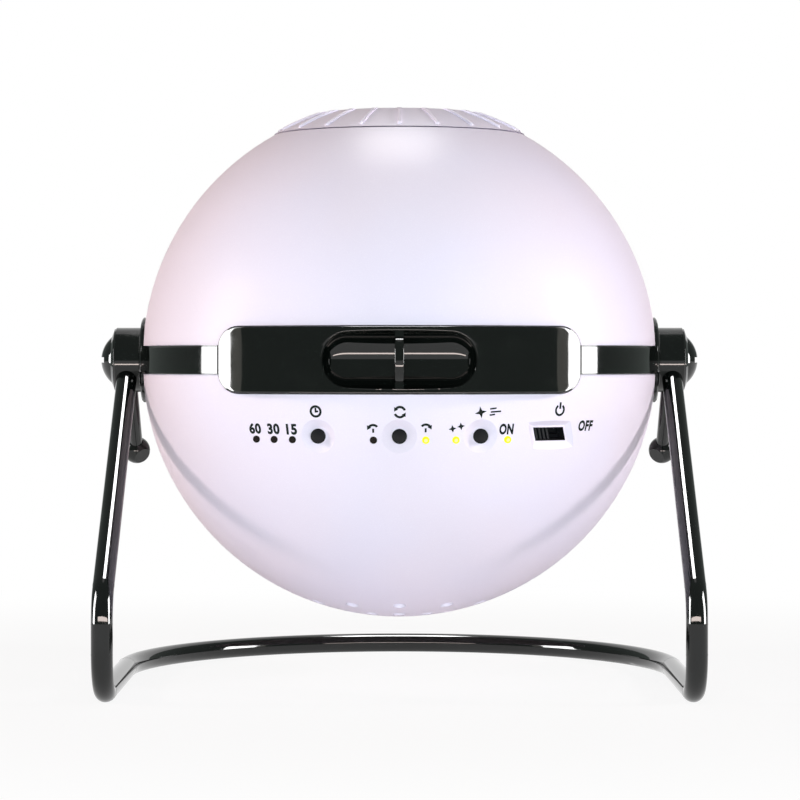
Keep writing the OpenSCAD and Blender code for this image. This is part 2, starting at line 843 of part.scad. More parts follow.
module lens_bridge() {
  plate_z = guide_bottom;
  color(dark_grey) at_ball() {
    difference() {
      union() {
        translate([-bridge_x - bridge_t, -bridge_y, plate_z])
          cube([2 * (bridge_x + bridge_t), 2 * bridge_y, bridge_t]);
        translate([0, 0, plate_z]) cylinder(r = barrel_r + 4.5, h = bridge_t);
        translate([0, 0, plate_z]) cylinder(r = barrel_r + move_gap + 1.8, h = guide_l);
      }
      translate([0, 0, plate_z - 1]) cylinder(r = barrel_r + move_gap, h = guide_l + 2);
      for (i = [0:pin_count - 1]) rotate([0, 0, i * 360 / pin_count])
        translate([barrel_r - 2, -1.5, plate_z - 1]) cube([8, 3, guide_l + 2]);
    }
    for (side = [-1, 1]) scale_x(side) difference() {
      translate([bridge_x, -bridge_y, deck_top]) union() {
        cube([bridge_t, 2 * bridge_y, plate_z - deck_top + 1]);
        cube([bridge_t + foot_w, 2 * bridge_y, bridge_t]);
      }
      for (sy = [-1, 1]) translate([bridge_x + bridge_t + foot_w / 2, sy * bridge_y / 2, deck_top - 1])
        cylinder(r = screw_r + seat_gap, h = bridge_t + 2);
      // keeps the foot inside the round shell
      difference() {
        translate([0, -big / 2, deck_top - 1]) cube([big, big, bridge_t + 2]);
        sphere(r = deck_r + 1);
      }
    }
  }
}

module bridge_screws() {
  screw_x = bridge_x + bridge_t + foot_w / 2;
  color(steel) at_ball() for (sx = [-1, 1], sy = [-1, 1])
    translate([sx * screw_x, sy * bridge_y / 2, deck_top + bridge_t]) screw(bridge_screw_l);
}

module tray_guides() {
  color(black) at_ball() for (side = [-1, 1]) scale_x(side) difference() {
    translate([rail_in, rail_front, deck_top])
      cube([rail_out - rail_in, rail_rear - rail_front, tray_top - deck_top + 2.2]);
    translate([rail_in - 1, rail_front - 1, tray_bottom - move_gap])
      cube([tray_half + move_gap - rail_in + 1, rail_rear - rail_front + 2, tray_t + 2 * move_gap]);
    // the upper lip is narrower than the runner
    translate([rail_in - 1, rail_front - 1, tray_top])
      cube([2.2, rail_rear - rail_front + 2, 10]);
    for (sy = [-1, 1]) translate([post_x, sy * post_y, deck_top - 1]) cylinder(r = head_r + 0.6, h = 10);
  }
}

module condenser_holder() {
  color(dark_grey) at_ball() rotate_extrude() polygon([
    [condenser_r - 1.2, lamp_z + 0.01], [holder_r, lamp_z + 0.01], [holder_r, deck_bottom - 2],
    [holder_r + 3, deck_bottom - 2], [holder_r + 3, deck_bottom], [condenser_r + seat_gap, deck_bottom],
    [condenser_r + seat_gap, condenser_top - 6], [condenser_r - 1.2, condenser_top - 6]
  ]);
}

// A lens between two sphere caps, with its rim at z = 0
module lens(r, top_h, bottom_h, rim) {
  top_ball = (r * r + top_h * top_h) / (2 * top_h);
  bottom_ball = (r * r + bottom_h * bottom_h) / (2 * bottom_h);
  rotate_extrude() intersection() {
    translate([0, rim / 2 + top_h - top_ball]) circle(r = top_ball, $fn = 720);
    translate([0, -rim / 2 - bottom_h + bottom_ball]) circle(r = bottom_ball, $fn = 720);
    translate([0, -rim / 2 - bottom_h]) square([r - eps, rim + top_h + bottom_h]);
  }
}

module condenser_lens() {
  color(lens_blue) at_ball() translate([0, 0, condenser_top - 4.2]) lens(condenser_r, 3, 0.6, 1.8);
}

module lamp_board() {
  color(board_green) at_ball() translate([0, 0, lamp_z - board_t]) cylinder(r = holder_r, h = board_t);
}

module lamp_emitter() {
  color(amber) at_ball() {
    translate([-2.5, -2.5, lamp_z]) cube([5, 5, 1]);
    translate([0, 0, lamp_z + 0.9]) intersection() {
      sphere(r = 2.2);
      cylinder(r = 3, h = 3);
    }
  }
}

module heat_sink() {
  sink_top = lamp_z - board_t;
  color(steel) at_ball() {
    translate([0, 0, sink_top - sink_t]) cylinder(r = holder_r, h = sink_t);
    for (i = [0:fin_count - 1]) {
      x = (i - (fin_count - 1) / 2) * (2 * holder_r - 6) / (fin_count - 1);
      half = sqrt(pow(holder_r, 2) - pow(abs(x) + 0.8, 2)) - 0.5;
      translate([x - 0.7, -half, sink_top - sink_t - sink_h]) cube([1.4, 2 * half, sink_h + 0.5]);
    }
  }
}

// Drive

module drive_motor() {
  color(steel) at_ball() translate([0, pinion_y, 0]) difference() {
    union() {
      translate([0, 0, deck_bottom - motor_h]) cylinder(r = motor_r, h = motor_h);
      translate([0, 0, deck_bottom - 1]) cylinder(r = 3, h = 2);
      translate([0, 0, deck_bottom]) cylinder(r = 1, h = gear_top - deck_bottom + 0.6);
    }
    translate([0, 0, deck_bottom - motor_h - 1]) cylinder(r = 2.6, h = 2);
  }
}

// One gear's outline, with a tooth centred on the angle `turn`
function gear_points(teeth, turn) =
  let (pitch = teeth * gear_module / 2, half = 90 / teeth - backlash / pitch * 57.3)
  [for (i = [0:teeth - 1])
    let (c = turn + i * 360 / teeth)
    each [
      for (p = [[-1.62, -tooth_in], [-1, 0], [-0.5, tooth_out], [0.5, tooth_out], [1, 0], [1.62, -tooth_in]])
        (pitch + p[1] * gear_module) * [cos(c + p[0] * half), sin(c + p[0] * half)]
    ]];

module motor_pinion() {
  color([0.85, 0.8, 0.65]) at_ball() translate([0, pinion_y, gear_bottom]) difference() {
    linear_extrude(gear_w) polygon(gear_points(pinion_teeth, -90 + 180 / pinion_teeth));
    translate([0, 0, -1]) cylinder(r = 1 + run_fit, h = gear_w + 2);
  }
}

module disc_ring() {
  color([0.85, 0.8, 0.65]) at_ball() difference() {
    translate([0, 0, gear_bottom]) linear_extrude(gear_w) polygon(gear_points(ring_teeth, 90));
    translate([0, 0, ledge_z]) cylinder(r = disc_r + seat_gap, h = gear_w);
    translate([0, 0, gear_bottom - 1]) cylinder(r = ledge_r, h = gear_w + 2);
    translate([0, 0, gear_bottom - 1])
      cylinder(r = tray_collar_r + run_fit, h = collar_top - gear_bottom + 1.2);
  }
}

module star_disc() {
  color([0.1, 0.12, 0.2]) at_ball() translate([0, 0, ledge_z]) cylinder(r = disc_r, h = disc_t);
}

// Disc tray

module tray_front() {
  color(black) at_ball() difference() {
    union() {
      difference() {
        intersection() {
          rotate([0, 0, -180]) rotate_extrude(angle = 180, $fn = 120) union() {
            translate([panel_in - 8, -panel_h / 2]) square([panel_t + 8 - panel_edge, panel_h]);
            translate([panel_in - 8, panel_edge - panel_h / 2])
              square([panel_t + 8, panel_h - 2 * panel_edge]);
            for (s = [-1, 1]) translate([panel_out - panel_edge, s * (panel_h / 2 - panel_edge)])
              circle(r = panel_edge);
          }
          rotate([90, 0, 0]) linear_extrude(big / 2) rounded_rect(panel_w, panel_h + 0.1, panel_corner);
        }
        sphere(r = panel_in, $fn = 120);
      }
      intersection() {
        recess_shape(pocket_tube);
        cylinder(r = panel_out - 0.6, h = big, center = true);
      }
      for (side = [-1, 1]) intersection() {
        translate([side * lug_x - lug_w / 2, -panel_out, tray_top]) cube([lug_w, lug_d, lug_h]);
        cylinder(r = panel_out - 0.6, h = big, center = true);
      }
    }
    difference() {
      recess_shape(recess_tube);
      translate([-fin_t / 2, -big, -big / 2]) cube([fin_t, big, big]);
    }
    for (side = [-1, 1]) translate([side * lug_x, tray_screw_y, tray_top - 1])
      cylinder(r = tray_screw_r + seat_gap / 2, h = lug_h);
  }
}

module tray_frame() {
  color(dark_grey) at_ball() difference() {
    union() {
      intersection() {
        translate([-tray_half, -ball_r - 1, tray_bottom])
          cube([2 * tray_half, ball_r + 1 + tray_rear, tray_t]);
        sphere(r = panel_in, $fn = 120);
      }
      for (side = [-1, 1]) scale_x(side)
        translate([tray_half - tray_arm_w, 0, tray_bottom]) cube([tray_arm_w, tray_arm_rear, tray_t]);
      z_tube(tray_collar_r, light_r, tray_bottom + 1, collar_top);
    }
    recess_shape(pocket_tube + seat_gap);
    translate([0, 0, -big / 2]) cylinder(r = light_r, h = big);
    for (side = [-1, 1]) translate([side * lug_x, tray_screw_y, tray_bottom - 1])
      cylinder(r = tray_screw_r + seat_gap, h = tray_t + 2);
    translate([-pinion_pitch - 3, tray_rear - 1, tray_bottom - 1])
      cube([2 * pinion_pitch + 6, 4, tray_t + 2]);
  }
}

module tray_screws() {
  color(steel) at_ball() for (side = [-1, 1])
    translate([side * lug_x, tray_screw_y, tray_bottom]) {
      cylinder(r = tray_screw_r, h = tray_t + 2.6);
      translate([0, 0, -1]) cylinder(r = tray_head_r, h = 1);
    }
}

// Controls

module control_board() {
  color(board_green) at_ball() difference() {
    translate([board_left, -board_y, board_bottom])
      cube([board_right - board_left, board_t, board_top - board_bottom]);
    for (x = board_screw_x) translate([x, 0, board_screw_z])
      y_bar(0.8 + seat_gap, -board_y - 1, -board_y + 5);
  }
}

module board_screws() {
  color(steel) at_ball() for (x = board_screw_x) translate([x, 0, board_screw_z]) {
    y_bar(0.8, -board_y - 4, -board_y + board_t + 0.1);
    y_bar(1.6, -board_y + board_t, -board_y + board_t + 1);
  }
}

module tact_switches() {
  color(dark_grey) at_ball() for (az = button_angles) translate([button_x(az), -board_y, row_z]) {
    translate([-tact_w / 2, -tact_h, -tact_w / 2]) cube([tact_w, tact_h, tact_w]);
    y_bar(1.5, -tact_h - 0.8, -tact_h + 0.1);
  }
}

module push_button(az) {
  face = button_face(az);
  stem_end = -board_y - tact_h - 0.8 - button_travel - 0.2;
  flange_y = face + sleeve_l + move_gap;
  color(black) at_ball() translate([button_x(az), 0, row_z]) {
    intersection() {
      y_bar(button_r, face, flange_y + eps);
      translate([0, face + 2.6 * button_r, 0]) sphere(r = 2.6 * button_r + eps);
    }
    y_bar(button_r, face + button_r, flange_y + eps);
    y_bar(button_flange_r, flange_y, flange_y + collar_t);
    y_bar(stem_r, flange_y, stem_end);
  }
}

module timer_button() push_button(-button_az);

module rotation_button() push_button(0);

module meteor_button() push_button(button_az);

module indicator_dots(angles) {
  at_ball() for (az = angles) translate([dot_x(az), 0, dot_z]) {
    tip = surface_y(ball_r, dot_x(az), dot_z) + 0.15;
    y_bar(dot_r, tip, -board_y - 0.2);
  }
}

module dots_lit() color(amber) indicator_dots(lit_az);

module dots_dark() color(black) indicator_dots(dark_az);

module switch_body() {
  color(black) at_ball() facing(switch_az, row_lat) difference() {
    outwards(switch_face - switch_depth, switch_face - 0.02)
      square([window_w + 2.4, window_h + 4], center = true);
    outwards(switch_face - 1.6, switch_face + 1)
      square([window_w + 1.6, 2.2], center = true);
  }
}

module power_slider() {
  start = -(window_w - slider_w) / 2 + 0.25;
  ribs = 4;
  pitch = (slider_w - 0.8) / (ribs - 0.5);
  color(black) at_ball() facing(switch_az, row_lat) translate([start, 0, 0]) {
    outwards(switch_face + 0.3, window_floor - 1.2) slanted(slider_w, window_h - 0.5);
    outwards(switch_face - 1.3, switch_face + 0.4) square([slider_w - 1.6, 1.6], center = true);
    for (i = [0:ribs - 1])
      translate([(i - (ribs - 1) / 2) * pitch, 0, 0])
        outwards(window_floor - 1.3, window_floor - 0.5) slanted(pitch / 2, window_h - 0.5);
  }
}

module dc_inlet() {
  body_w = 2 * inlet_r + 1.8;
  color(black) at_ball() facing(180, inlet_lat) {
    difference() {
      union() {
        y_bar(inlet_r, 0.6 - ball_r, inlet_neck - ball_r);
        translate([-body_w / 2, inlet_neck - ball_r, -body_w / 2]) cube([body_w, inlet_body, body_w]);
      }
      y_bar(inlet_bore_r, -ball_r, inlet_neck + inlet_body - 1.2 - ball_r);
    }
    y_bar(inlet_pin_r, 2 - ball_r, inlet_neck + inlet_body - 0.6 - ball_r);
  }
}

// Focus

module grip_ribs() {
  from = sqrt(pow(ring_out, 2) - pow(rim_z, 2));
  to = seam_r - rib_inset - rib_w / 2;
  intersection() {
    translate([0, 0, ring_bottom + 0.2]) linear_extrude(ring_h + 2) union()
      for (i = [0:rib_count - 1]) rotate([0, 0, -90 + i * 360 / rib_count]) {
        translate([from, -rib_w / 2]) square([to - from, rib_w]);
        translate([to, 0]) circle(r = rib_w / 2, $fn = 24);
      }
    sphere(r = ring_out + rib_h, $fn = 120);
    translate([0, 0, rim_z - 2 * ring_h]) cylinder(r = seam_r, h = 2 * ring_h);
  }
}

module focus_ring() {
  color(pearl) at_ball() {
    rotate_extrude($fn = 120) union() {
      intersection() {
        difference() {
          circle(r = ring_out, $fn = 240);
          circle(r = ring_out - 2.6, $fn = 240);
        }
        translate([mouth_r, ring_bottom]) square([ball_r, rim_z - ring_bottom]);
      }
      translate([mouth_r, cam_top + 0.1]) square([2.8, rim_z - 0.8 - cam_top]);
      translate([skirt_r - 2.2, collar_bottom - 0.4]) square([2.2, ring_bottom + 1.6 - collar_bottom + 0.4]);
    }
    grip_ribs();
  }
}

// A bar bent to a helix round Z, wide enough to cut through the cam sleeve
module helix_bar(r_in, r_out, half_h, sweep, slope) {
  steps = 20;
  ring = [[r_in, -half_h], [r_out, -half_h], [r_out, half_h], [r_in, half_h]];
  points = [for (i = [0:steps]) let (a = -sweep + 2 * sweep * i / steps)
    for (p = ring) [p[0] * cos(a), p[0] * sin(a), p[1] - a * slope]];
  sides = [for (i = [0:steps - 1], j = [0:3]) let (k = (j + 1) % 4)
    each [[4 * i + j, 4 * i + k, 4 * i + 4 + k], [4 * i + j, 4 * i + 4 + k, 4 * i + 4 + j]]];
  last = 4 * steps;
  ends = [[0, 3, 2], [0, 2, 1], [last, last + 1, last + 2], [last, last + 2, last + 3]];
  polyhedron(points = points, faces = concat(sides, ends));
}

module focus_cam() {
  color(dark_grey) at_ball() difference() {
    union() {
      z_tube(cam_out, cam_in, cam_bottom, cam_top);
      z_tube(skirt_r - 2.4, cam_in, cam_top - cam_flange_t, cam_top);
    }
    for (i = [0:pin_count - 1]) rotate([0, 0, i * 360 / pin_count]) translate([0, 0, pin_z])
      helix_bar(cam_in - 1, cam_out + 1, pin_r + move_gap, cam_sweep, cam_slope);
  }
}

module focus_retainer() {
  color(dark_grey) at_ball()
    z_tube(collar_in + 2.4, skirt_r - 2.2, collar_bottom - 1.9, collar_bottom - 0.4);
}

module lens_barrel() {
  color(black) at_ball() {
    rotate_extrude() polygon([
      [lens_r - 1, barrel_bottom], [barrel_r, barrel_bottom], [barrel_r, barrel_top - 1],
      [barrel_r, barrel_top], [lens_r + 1.4, barrel_top], [lens_r + seat_gap, barrel_top - 1.6],
      [lens_r + seat_gap, front_lens_z], [lens_r - 1, front_lens_z - 1]
    ]);
    for (i = [0:pin_count - 1]) rotate([0, 0, i * 360 / pin_count]) {
      translate([0, 0, pin_z]) x_bar(pin_r, barrel_r - 0.5, cam_out - 0.2);
      translate([barrel_r - 0.5, -1.2, barrel_bottom + 2]) cube([2, 2.4, guide_top - barrel_bottom - 6]);
    }
  }
}

module front_lens() {
  color(lens_blue) at_ball() translate([0, 0, front_lens_z + front_lens_seat])
    lens(lens_r, front_lens_bulge, 0.4, front_lens_rim);
}

module rear_lens() {
  color(lens_blue) at_ball() translate([0, 0, rear_lens_z]) lens(lens_r - 1 - seat_gap / 2, 1, 1.6, 1.6);
}

module lens_hood() {
  color(black) at_ball() rotate_extrude() polygon([
    [lens_r - 1, hood_bottom], [lens_r + seat_gap / 2, hood_bottom],
    [lens_r + seat_gap / 2, barrel_top - 1.5], [lens_r + 1.4, barrel_top + 0.02],
    [barrel_r, barrel_top + 0.02], [barrel_r, barrel_top + 1.4], [barrel_r - 0.5, barrel_top + 1.4],
    [lens_r + 0.6, barrel_top - 0.4], [lens_r - 0.6, barrel_top - 2]
  ]);
}

stand_frame();
hub_boss(-1);  // hub_boss_left
hub_boss(1);  // hub_boss_right
hub_cover(-1);  // hub_cover_left
hub_cover(1);  // hub_cover_right
pivot_bolt(-1);  // pivot_bolt_left
pivot_bolt(1);  // pivot_bolt_right
pivot_nuts();
lever(-1);  // lever_left
lever(1);  // lever_right
lever_knob(-1);  // lever_knob_left
lever_knob(1);  // lever_knob_right
upper_shell();
lower_shell();
band_front(-1);  // band_front_left
band_front(1);  // band_front_right
band_rear();
hub_flange(-1);  // hub_flange_left
hub_flange(1);  // hub_flange_right
shell_screws();
optics_deck();
deck_screws();
lens_bridge();
bridge_screws();
tray_guides();
condenser_holder();
condenser_lens();
lamp_board();
lamp_emitter();
heat_sink();
drive_motor();
motor_pinion();
control_board();
tact_switches();
board_screws();
dots_lit();
dots_dark();
timer_button();
rotation_button();
meteor_button();
switch_body();
power_slider();
dc_inlet();
focus_ring();
focus_cam();
focus_retainer();
lens_barrel();
front_lens();
rear_lens();
lens_hood();
tray_front();
tray_frame();
tray_screws();
disc_ring();
star_disc();
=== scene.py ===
"""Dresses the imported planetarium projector: finishes, rounded skins, printed marks, studio and camera.

Lengths are metres in the part's own frame: +X right, -Y front, +Z up, with the stand's foot at z = 0.
"""

import functools
import json
import math

import bmesh
import bpy
from mathutils import Matrix, Vector

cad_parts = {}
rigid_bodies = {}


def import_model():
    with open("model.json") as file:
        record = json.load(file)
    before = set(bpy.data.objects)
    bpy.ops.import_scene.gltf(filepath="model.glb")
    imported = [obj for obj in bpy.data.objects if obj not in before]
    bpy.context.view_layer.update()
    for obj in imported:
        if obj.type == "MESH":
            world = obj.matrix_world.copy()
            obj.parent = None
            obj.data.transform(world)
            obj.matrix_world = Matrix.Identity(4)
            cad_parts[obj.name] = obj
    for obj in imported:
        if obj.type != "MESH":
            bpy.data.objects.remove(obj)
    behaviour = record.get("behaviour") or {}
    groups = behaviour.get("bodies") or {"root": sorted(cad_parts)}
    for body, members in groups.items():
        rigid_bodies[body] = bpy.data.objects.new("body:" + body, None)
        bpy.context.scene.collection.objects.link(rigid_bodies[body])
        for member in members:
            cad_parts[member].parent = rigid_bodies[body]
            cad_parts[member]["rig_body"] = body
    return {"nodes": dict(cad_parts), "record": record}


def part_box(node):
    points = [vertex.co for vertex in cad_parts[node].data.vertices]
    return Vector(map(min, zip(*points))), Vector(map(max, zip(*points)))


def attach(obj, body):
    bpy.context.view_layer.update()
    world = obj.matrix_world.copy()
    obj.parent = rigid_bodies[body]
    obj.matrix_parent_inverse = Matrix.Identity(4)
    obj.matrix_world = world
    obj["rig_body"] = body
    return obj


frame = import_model()

bl_info = {
    "name": "Planetarium Projector Dressing",
    "version": (1, 0, 0),
    "blender": (4, 5, 0),
    "location": "3D View > Sidebar > Projector",
    "description": "Finishes, rounded skins, printed marks and studio of a home planetarium projector",
    "category": "Object",
}

MM = 0.001
SIDES = {"left": -1, "right": 1}


def middle_of(node):
    """The middle of a CAD node's box."""
    low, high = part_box(node)
    return (low + high) / 2


# The tilt axis runs along X through both hub flanges, and the ball's centre lies on it
BALL_CENTRE = Vector((0, middle_of("hub_flange_left").y, middle_of("hub_flange_left").z))


# Sizes, colours and levels that a user would change


def length_setting(name, description, metres):
    """A length."""
    return bpy.props.FloatProperty(name=name, description=description, default=metres, unit="LENGTH")


def colour_setting(name, description, value):
    """A colour."""
    return bpy.props.FloatVectorProperty(name=name, description=description, subtype="COLOR", default=value)


def plain_setting(name, description, value):
    """A plain number."""
    return bpy.props.FloatProperty(name=name, description=description, default=value)


class ProjectorSizes(bpy.types.PropertyGroup):
    """Sizes that the looks need beside the frame's own."""

    ball_radius: length_setting("Ball radius", "Outer radius of the ball", 72 * MM)
    print_lift: length_setting("Print lift", "How far the printed marks stand proud of the ball", 0.02 * MM)
    number_height: length_setting("Number height", "Height of the printed numbers", 2.95 * MM)
    icon_height: length_setting("Sign height", "Height of the printed signs", 3.3 * MM)
    stroke: length_setting("Stroke", "Width of the printed signs' lines", 0.62 * MM)
    panel_width: length_setting("Panel width", "Width of the front panel's face", 95 * MM)
    panel_corner: length_setting("Panel corner", "Corner radius of the front panel", 5.3 * MM)
    rim_round: length_setting("Rim rounding", "Rounding of the panel's and band's rims", 0.34 * MM)
    fin_proud: length_setting("Fin height", "How far the grip fin stands out of the panel", 3.2 * MM)
    rib_radius: length_setting("Rib radius", "Radius of the focus ring's rounded ribs", 0.66 * MM)


class ProjectorColours(bpy.types.PropertyGroup):
    """Colours of the finishes, as they render under plain light."""

    pearl: colour_setting("Pearl", "Pearl plastic of the ball", (0.835, 0.79, 0.91))
    pearl_warm: colour_setting("Pearl, warm", "Warm patches in the pearl", (0.86, 0.785, 0.87))
    gloss: colour_setting("Gloss black", "Gloss black mouldings", (0.0022, 0.0032, 0.0027))
    enamel: colour_setting("Enamel", "Black enamel of the bent rod", (0.002, 0.0028, 0.0025))
    matt: colour_setting("Matt black", "Matt black of the buttons and the switch", (0.005, 0.006, 0.007))
    ink: colour_setting("Ink", "Ink of the printed marks", (0.005, 0.009, 0.008))
    lit: colour_setting("Lit dot", "Light of the indicator dots that are on", (0.95, 0.95, 0.0))


class ProjectorStudio(bpy.types.PropertyGroup):
    """Camera and lights. A lamp's level is what a white surface at the ball's centre would show."""

    camera_distance: length_setting("Camera distance", "From the ball's centre to the camera", 0.864)
    lens: plain_setting("Lens", "Focal length in millimetres", 138.2)
    air: plain_setting("Air", "Even light from all round", 0.19)
    front: plain_setting("Front", "Level of the front lamp", 0.81)
    left: plain_setting("Left", "Level of the left lamp", 0.43)
    right: plain_setting("Right", "Level of the right lamp", 0.48)
    top: plain_setting("Top", "Level of the lamp above", 0.05)
    strip: plain_setting("Strips", "Brightness of the strips that gloss reflects", 30.0)
    screen: plain_setting("Screen", "Brightness of the grey screen that gloss reflects", 0.24)


def sizes():
    """The sizes in use."""
    return bpy.context.scene.projector_sizes


def colours():
    """The colours in use."""
    return bpy.context.scene.projector_colours


def studio():
    """The camera and light settings in use."""
    return bpy.context.scene.projector_studio


# Shader maths


class Value:
    """A shader node's output. Arithmetic on it adds Math nodes."""

    def __init__(self, shader, socket):
        self.shader = shader
        self.socket = socket

    def maths(self, operation, first, second):
        """The result of a Math node on two values."""
        return self.shader.node("Math", {"operation": operation}, {0: first, 1: second})

    def __add__(self, other):
        return self.maths("ADD", self, other)

    def __rsub__(self, other):
        return self.maths("SUBTRACT", other, self)

    def __mul__(self, other):
        return self.maths("MULTIPLY", self, other)

    def __lt__(self, other):
        return self.maths("LESS_THAN", self, other)

    __radd__ = __add__


class Shader:
    """One material: a Principled surface and the nodes that feed it."""

    def __init__(self, name, **surface):
        self.material = bpy.data.materials.new(name)
        self.material.use_nodes = True
        self.tree = self.material.node_tree
        self.surface = self.tree.nodes["Principled BSDF"]
        self.feed(**surface)

    def node(self, kind, settings=None, inputs=None, output=0):
        """A node of that type with its settings made and its inputs filled or linked."""
        made = self.tree.nodes.new("ShaderNode" + kind)
        for key, value in (settings or {}).items():
            setattr(made, key, value)
        for key, value in (inputs or {}).items():
            self.join(value, made.inputs[key])
        return Value(self, made.outputs[output])

    def join(self, value, socket):
        """Links a value to a socket, or writes a constant on it."""
        if isinstance(value, Value):
            self.tree.links.new(value.socket, socket)
        elif socket.type == "RGBA" and len(value) == 3:
            socket.default_value = (*value, 1)
        else:
            socket.default_value = value

    def feed(self, **surface):
        """Fills the surface's sockets: base_color=... goes to Base Color, and so on."""
        for key, value in surface.items():
            title = " ".join(word if word == "of" else word.capitalize() for word in key.split("_"))
            self.join(value, self.surface.inputs[title.replace("Ior", "IOR")])

    def place(self, stretch=(1, 1, 1)):
        """The object coordinates, stretched."""
        where = self.node("TexCoord", output="Object")
        return self.node("Mapping", inputs={"Vector": where, "Scale": stretch})

    def noise(self, grain, detail=2.0, stretch=(1, 1, 1)):
        """Noise from 0 to 1 whose patches are about `grain` metres across."""
        inputs = {"Vector": self.place(stretch), "Scale": 1 / grain, "Detail": detail}
        return self.node("TexNoise", inputs=inputs)

    def mix(self, factor, first, second):
        """A colour between two colours."""
        inputs = {0: factor, 6: first, 7: second}
        return self.node("Mix", {"data_type": "RGBA"}, inputs, output=2)

    def step(self, value, start, end):
        """0 where the value is under start, 1 where it is over end, smooth between."""
        inputs = {"Value": value, "From Min": start, "From Max": end}
        return self.node("MapRange", {"interpolation_type": "SMOOTHSTEP"}, inputs)

    def bump(self, height, depth):
        """Raises the surface by a height from 0 to 1 times a depth in metres."""
        inputs = {"Height": height, "Distance": depth, "Strength": 1.0}
        self.join(self.node("Bump", inputs=inputs), self.surface.inputs["Normal"])


def cached(build):
    """Makes a finish once and gives the same material after that."""

    def finish():
        name = "finish_" + build.__name__
        return bpy.data.materials.get(name) or build(Shader(name)).material

    finish.__name__ = build.__name__
    return finish


# Finishes


@cached
def pearl_plastic(shader):
    """Pearl moulding: lavender white with fine pearl flecks under a thin clear skin."""
    tone = shader.step(shader.noise(38 * MM, 1.0), 0.35, 0.65)
    flecks = shader.step(shader.noise(0.26 * MM, 1.0), 0.56, 0.72)
    body = shader.mix(tone * 0.55, tuple(colours().pearl), tuple(colours().pearl_warm))
    shader.feed(
        base_color=shader.mix(flecks * 0.3, body, (0.93, 0.90, 0.98)),
        roughness=0.46 - flecks * 0.1,
        specular_ior_level=0.04,
        coat_weight=0.045,
        coat_roughness=0.26,
    )
    shader.bump(shader.noise(0.5 * MM, 2.0), 0.006 * MM)
    return shader


@cached
def gloss_black(shader):
    """Polished black moulding with faint handling marks."""
    smudge = shader.step(shader.noise(9 * MM, 3.0), 0.45, 0.75)
    shader.feed(
        base_color=shader.mix(smudge * 0.5, tuple(colours().gloss), (0.0045, 0.006, 0.005)),
        roughness=0.04 + smudge * 0.04,
    )
    shader.bump(shader.noise(16 * MM, 1.0), 0.01 * MM)
    return shader


@cached
def black_enamel(shader):
    """Baked enamel on the rod, with a slight orange peel."""
    tone = shader.step(shader.noise(7 * MM, 2.0), 0.4, 0.7)
    shader.feed(
        base_color=shader.mix(tone * 0.5, tuple(colours().enamel), (0.004, 0.0052, 0.0047)),
        roughness=0.05 + tone * 0.03,
    )
    shader.bump(shader.noise(1.3 * MM, 1.0), 0.0022 * MM)
    return shader


@cached
def button_black(shader):
    """Matt black button with a spark-eroded grain."""
    grain = shader.noise(0.22 * MM, 2.0)
    shader.feed(
        base_color=shader.mix(grain, tuple(colours().matt), (0.009, 0.010, 0.012)),
        roughness=0.5 + grain * 0.15,
        specular_ior_level=0.15,
    )
    shader.bump(grain, 0.02 * MM)
    return shader


@cached
def inner_black(shader):
    """Dark grey moulding inside the ball, with fine flow lines."""
    flow = shader.noise(2.2 * MM, 3.0, (1, 0.25, 1))
    shader.feed(
        base_color=shader.mix(flow, (0.022, 0.023, 0.025), (0.036, 0.037, 0.040)),
        roughness=0.42 + flow * 0.15,
    )
    shader.bump(shader.noise(0.3 * MM, 2.0), 0.012 * MM)
    return shader


@cached
def zinc_steel(shader):
    """Zinc-plated steel of screws, nuts and the motor's can."""
    tone = shader.noise(1.6 * MM, 3.0)
    shader.feed(
        base_color=shader.mix(tone, (0.52, 0.53, 0.55), (0.68, 0.67, 0.64)),
        metallic=1.0,
        roughness=0.26 + tone * 0.16,
    )
    shader.bump(shader.noise(0.15 * MM, 2.0), 0.002 * MM)
    return shader


@cached
def sink_aluminium(shader):
    """Extruded aluminium with its drawing lines."""
    lines = shader.noise(0.3 * MM, 2.0, (1, 0.04, 1))
    shader.feed(
        base_color=shader.mix(lines, (0.60, 0.61, 0.63), (0.74, 0.75, 0.77)),
        metallic=1.0,
        roughness=0.3 + lines * 0.15,
    )
    shader.bump(lines, 0.006 * MM)
    return shader


@cached
def circuit_green(shader):
    """Solder mask over copper tracks."""
    wave = {"wave_type": "BANDS", "bands_direction": "DIAGONAL"}
    inputs = {"Vector": shader.place(), "Scale": 110.0, "Distortion": 7.0, "Detail": 0.0}
    tracks = shader.step(shader.node("TexWave", wave, inputs, output="Fac"), 0.52, 0.58)
    shader.feed(
        base_color=shader.mix(tracks, (0.006, 0.05, 0.022), (0.018, 0.12, 0.05)),
        roughness=0.3 + tracks * 0.1,
        coat_weight=0.4,
    )
    shader.bump(tracks, 0.03 * MM)
    return shader


@cached
def clear_glass(shader):
    """Coated lens glass."""
    haze = shader.noise(6 * MM, 2.0)
    shader.feed(
        base_color=(0.93, 0.96, 1.0),
        transmission_weight=1.0,
        ior=1.52,
        roughness=0.01 + haze * 0.015,
        coat_weight=0.5,
        coat_tint=(0.72, 0.66, 1.0, 1.0),
    )
    return shader


@cached
def lamp_ceramic(shader):
    """White lamp body with its pale yellow phosphor."""
    tone = shader.noise(0.6 * MM, 2.0)
    shader.feed(
        base_color=shader.mix(tone, (0.78, 0.74, 0.36), (0.9, 0.86, 0.48)),
        roughness=0.35 + tone * 0.1,
        coat_weight=0.8,
    )
    return shader


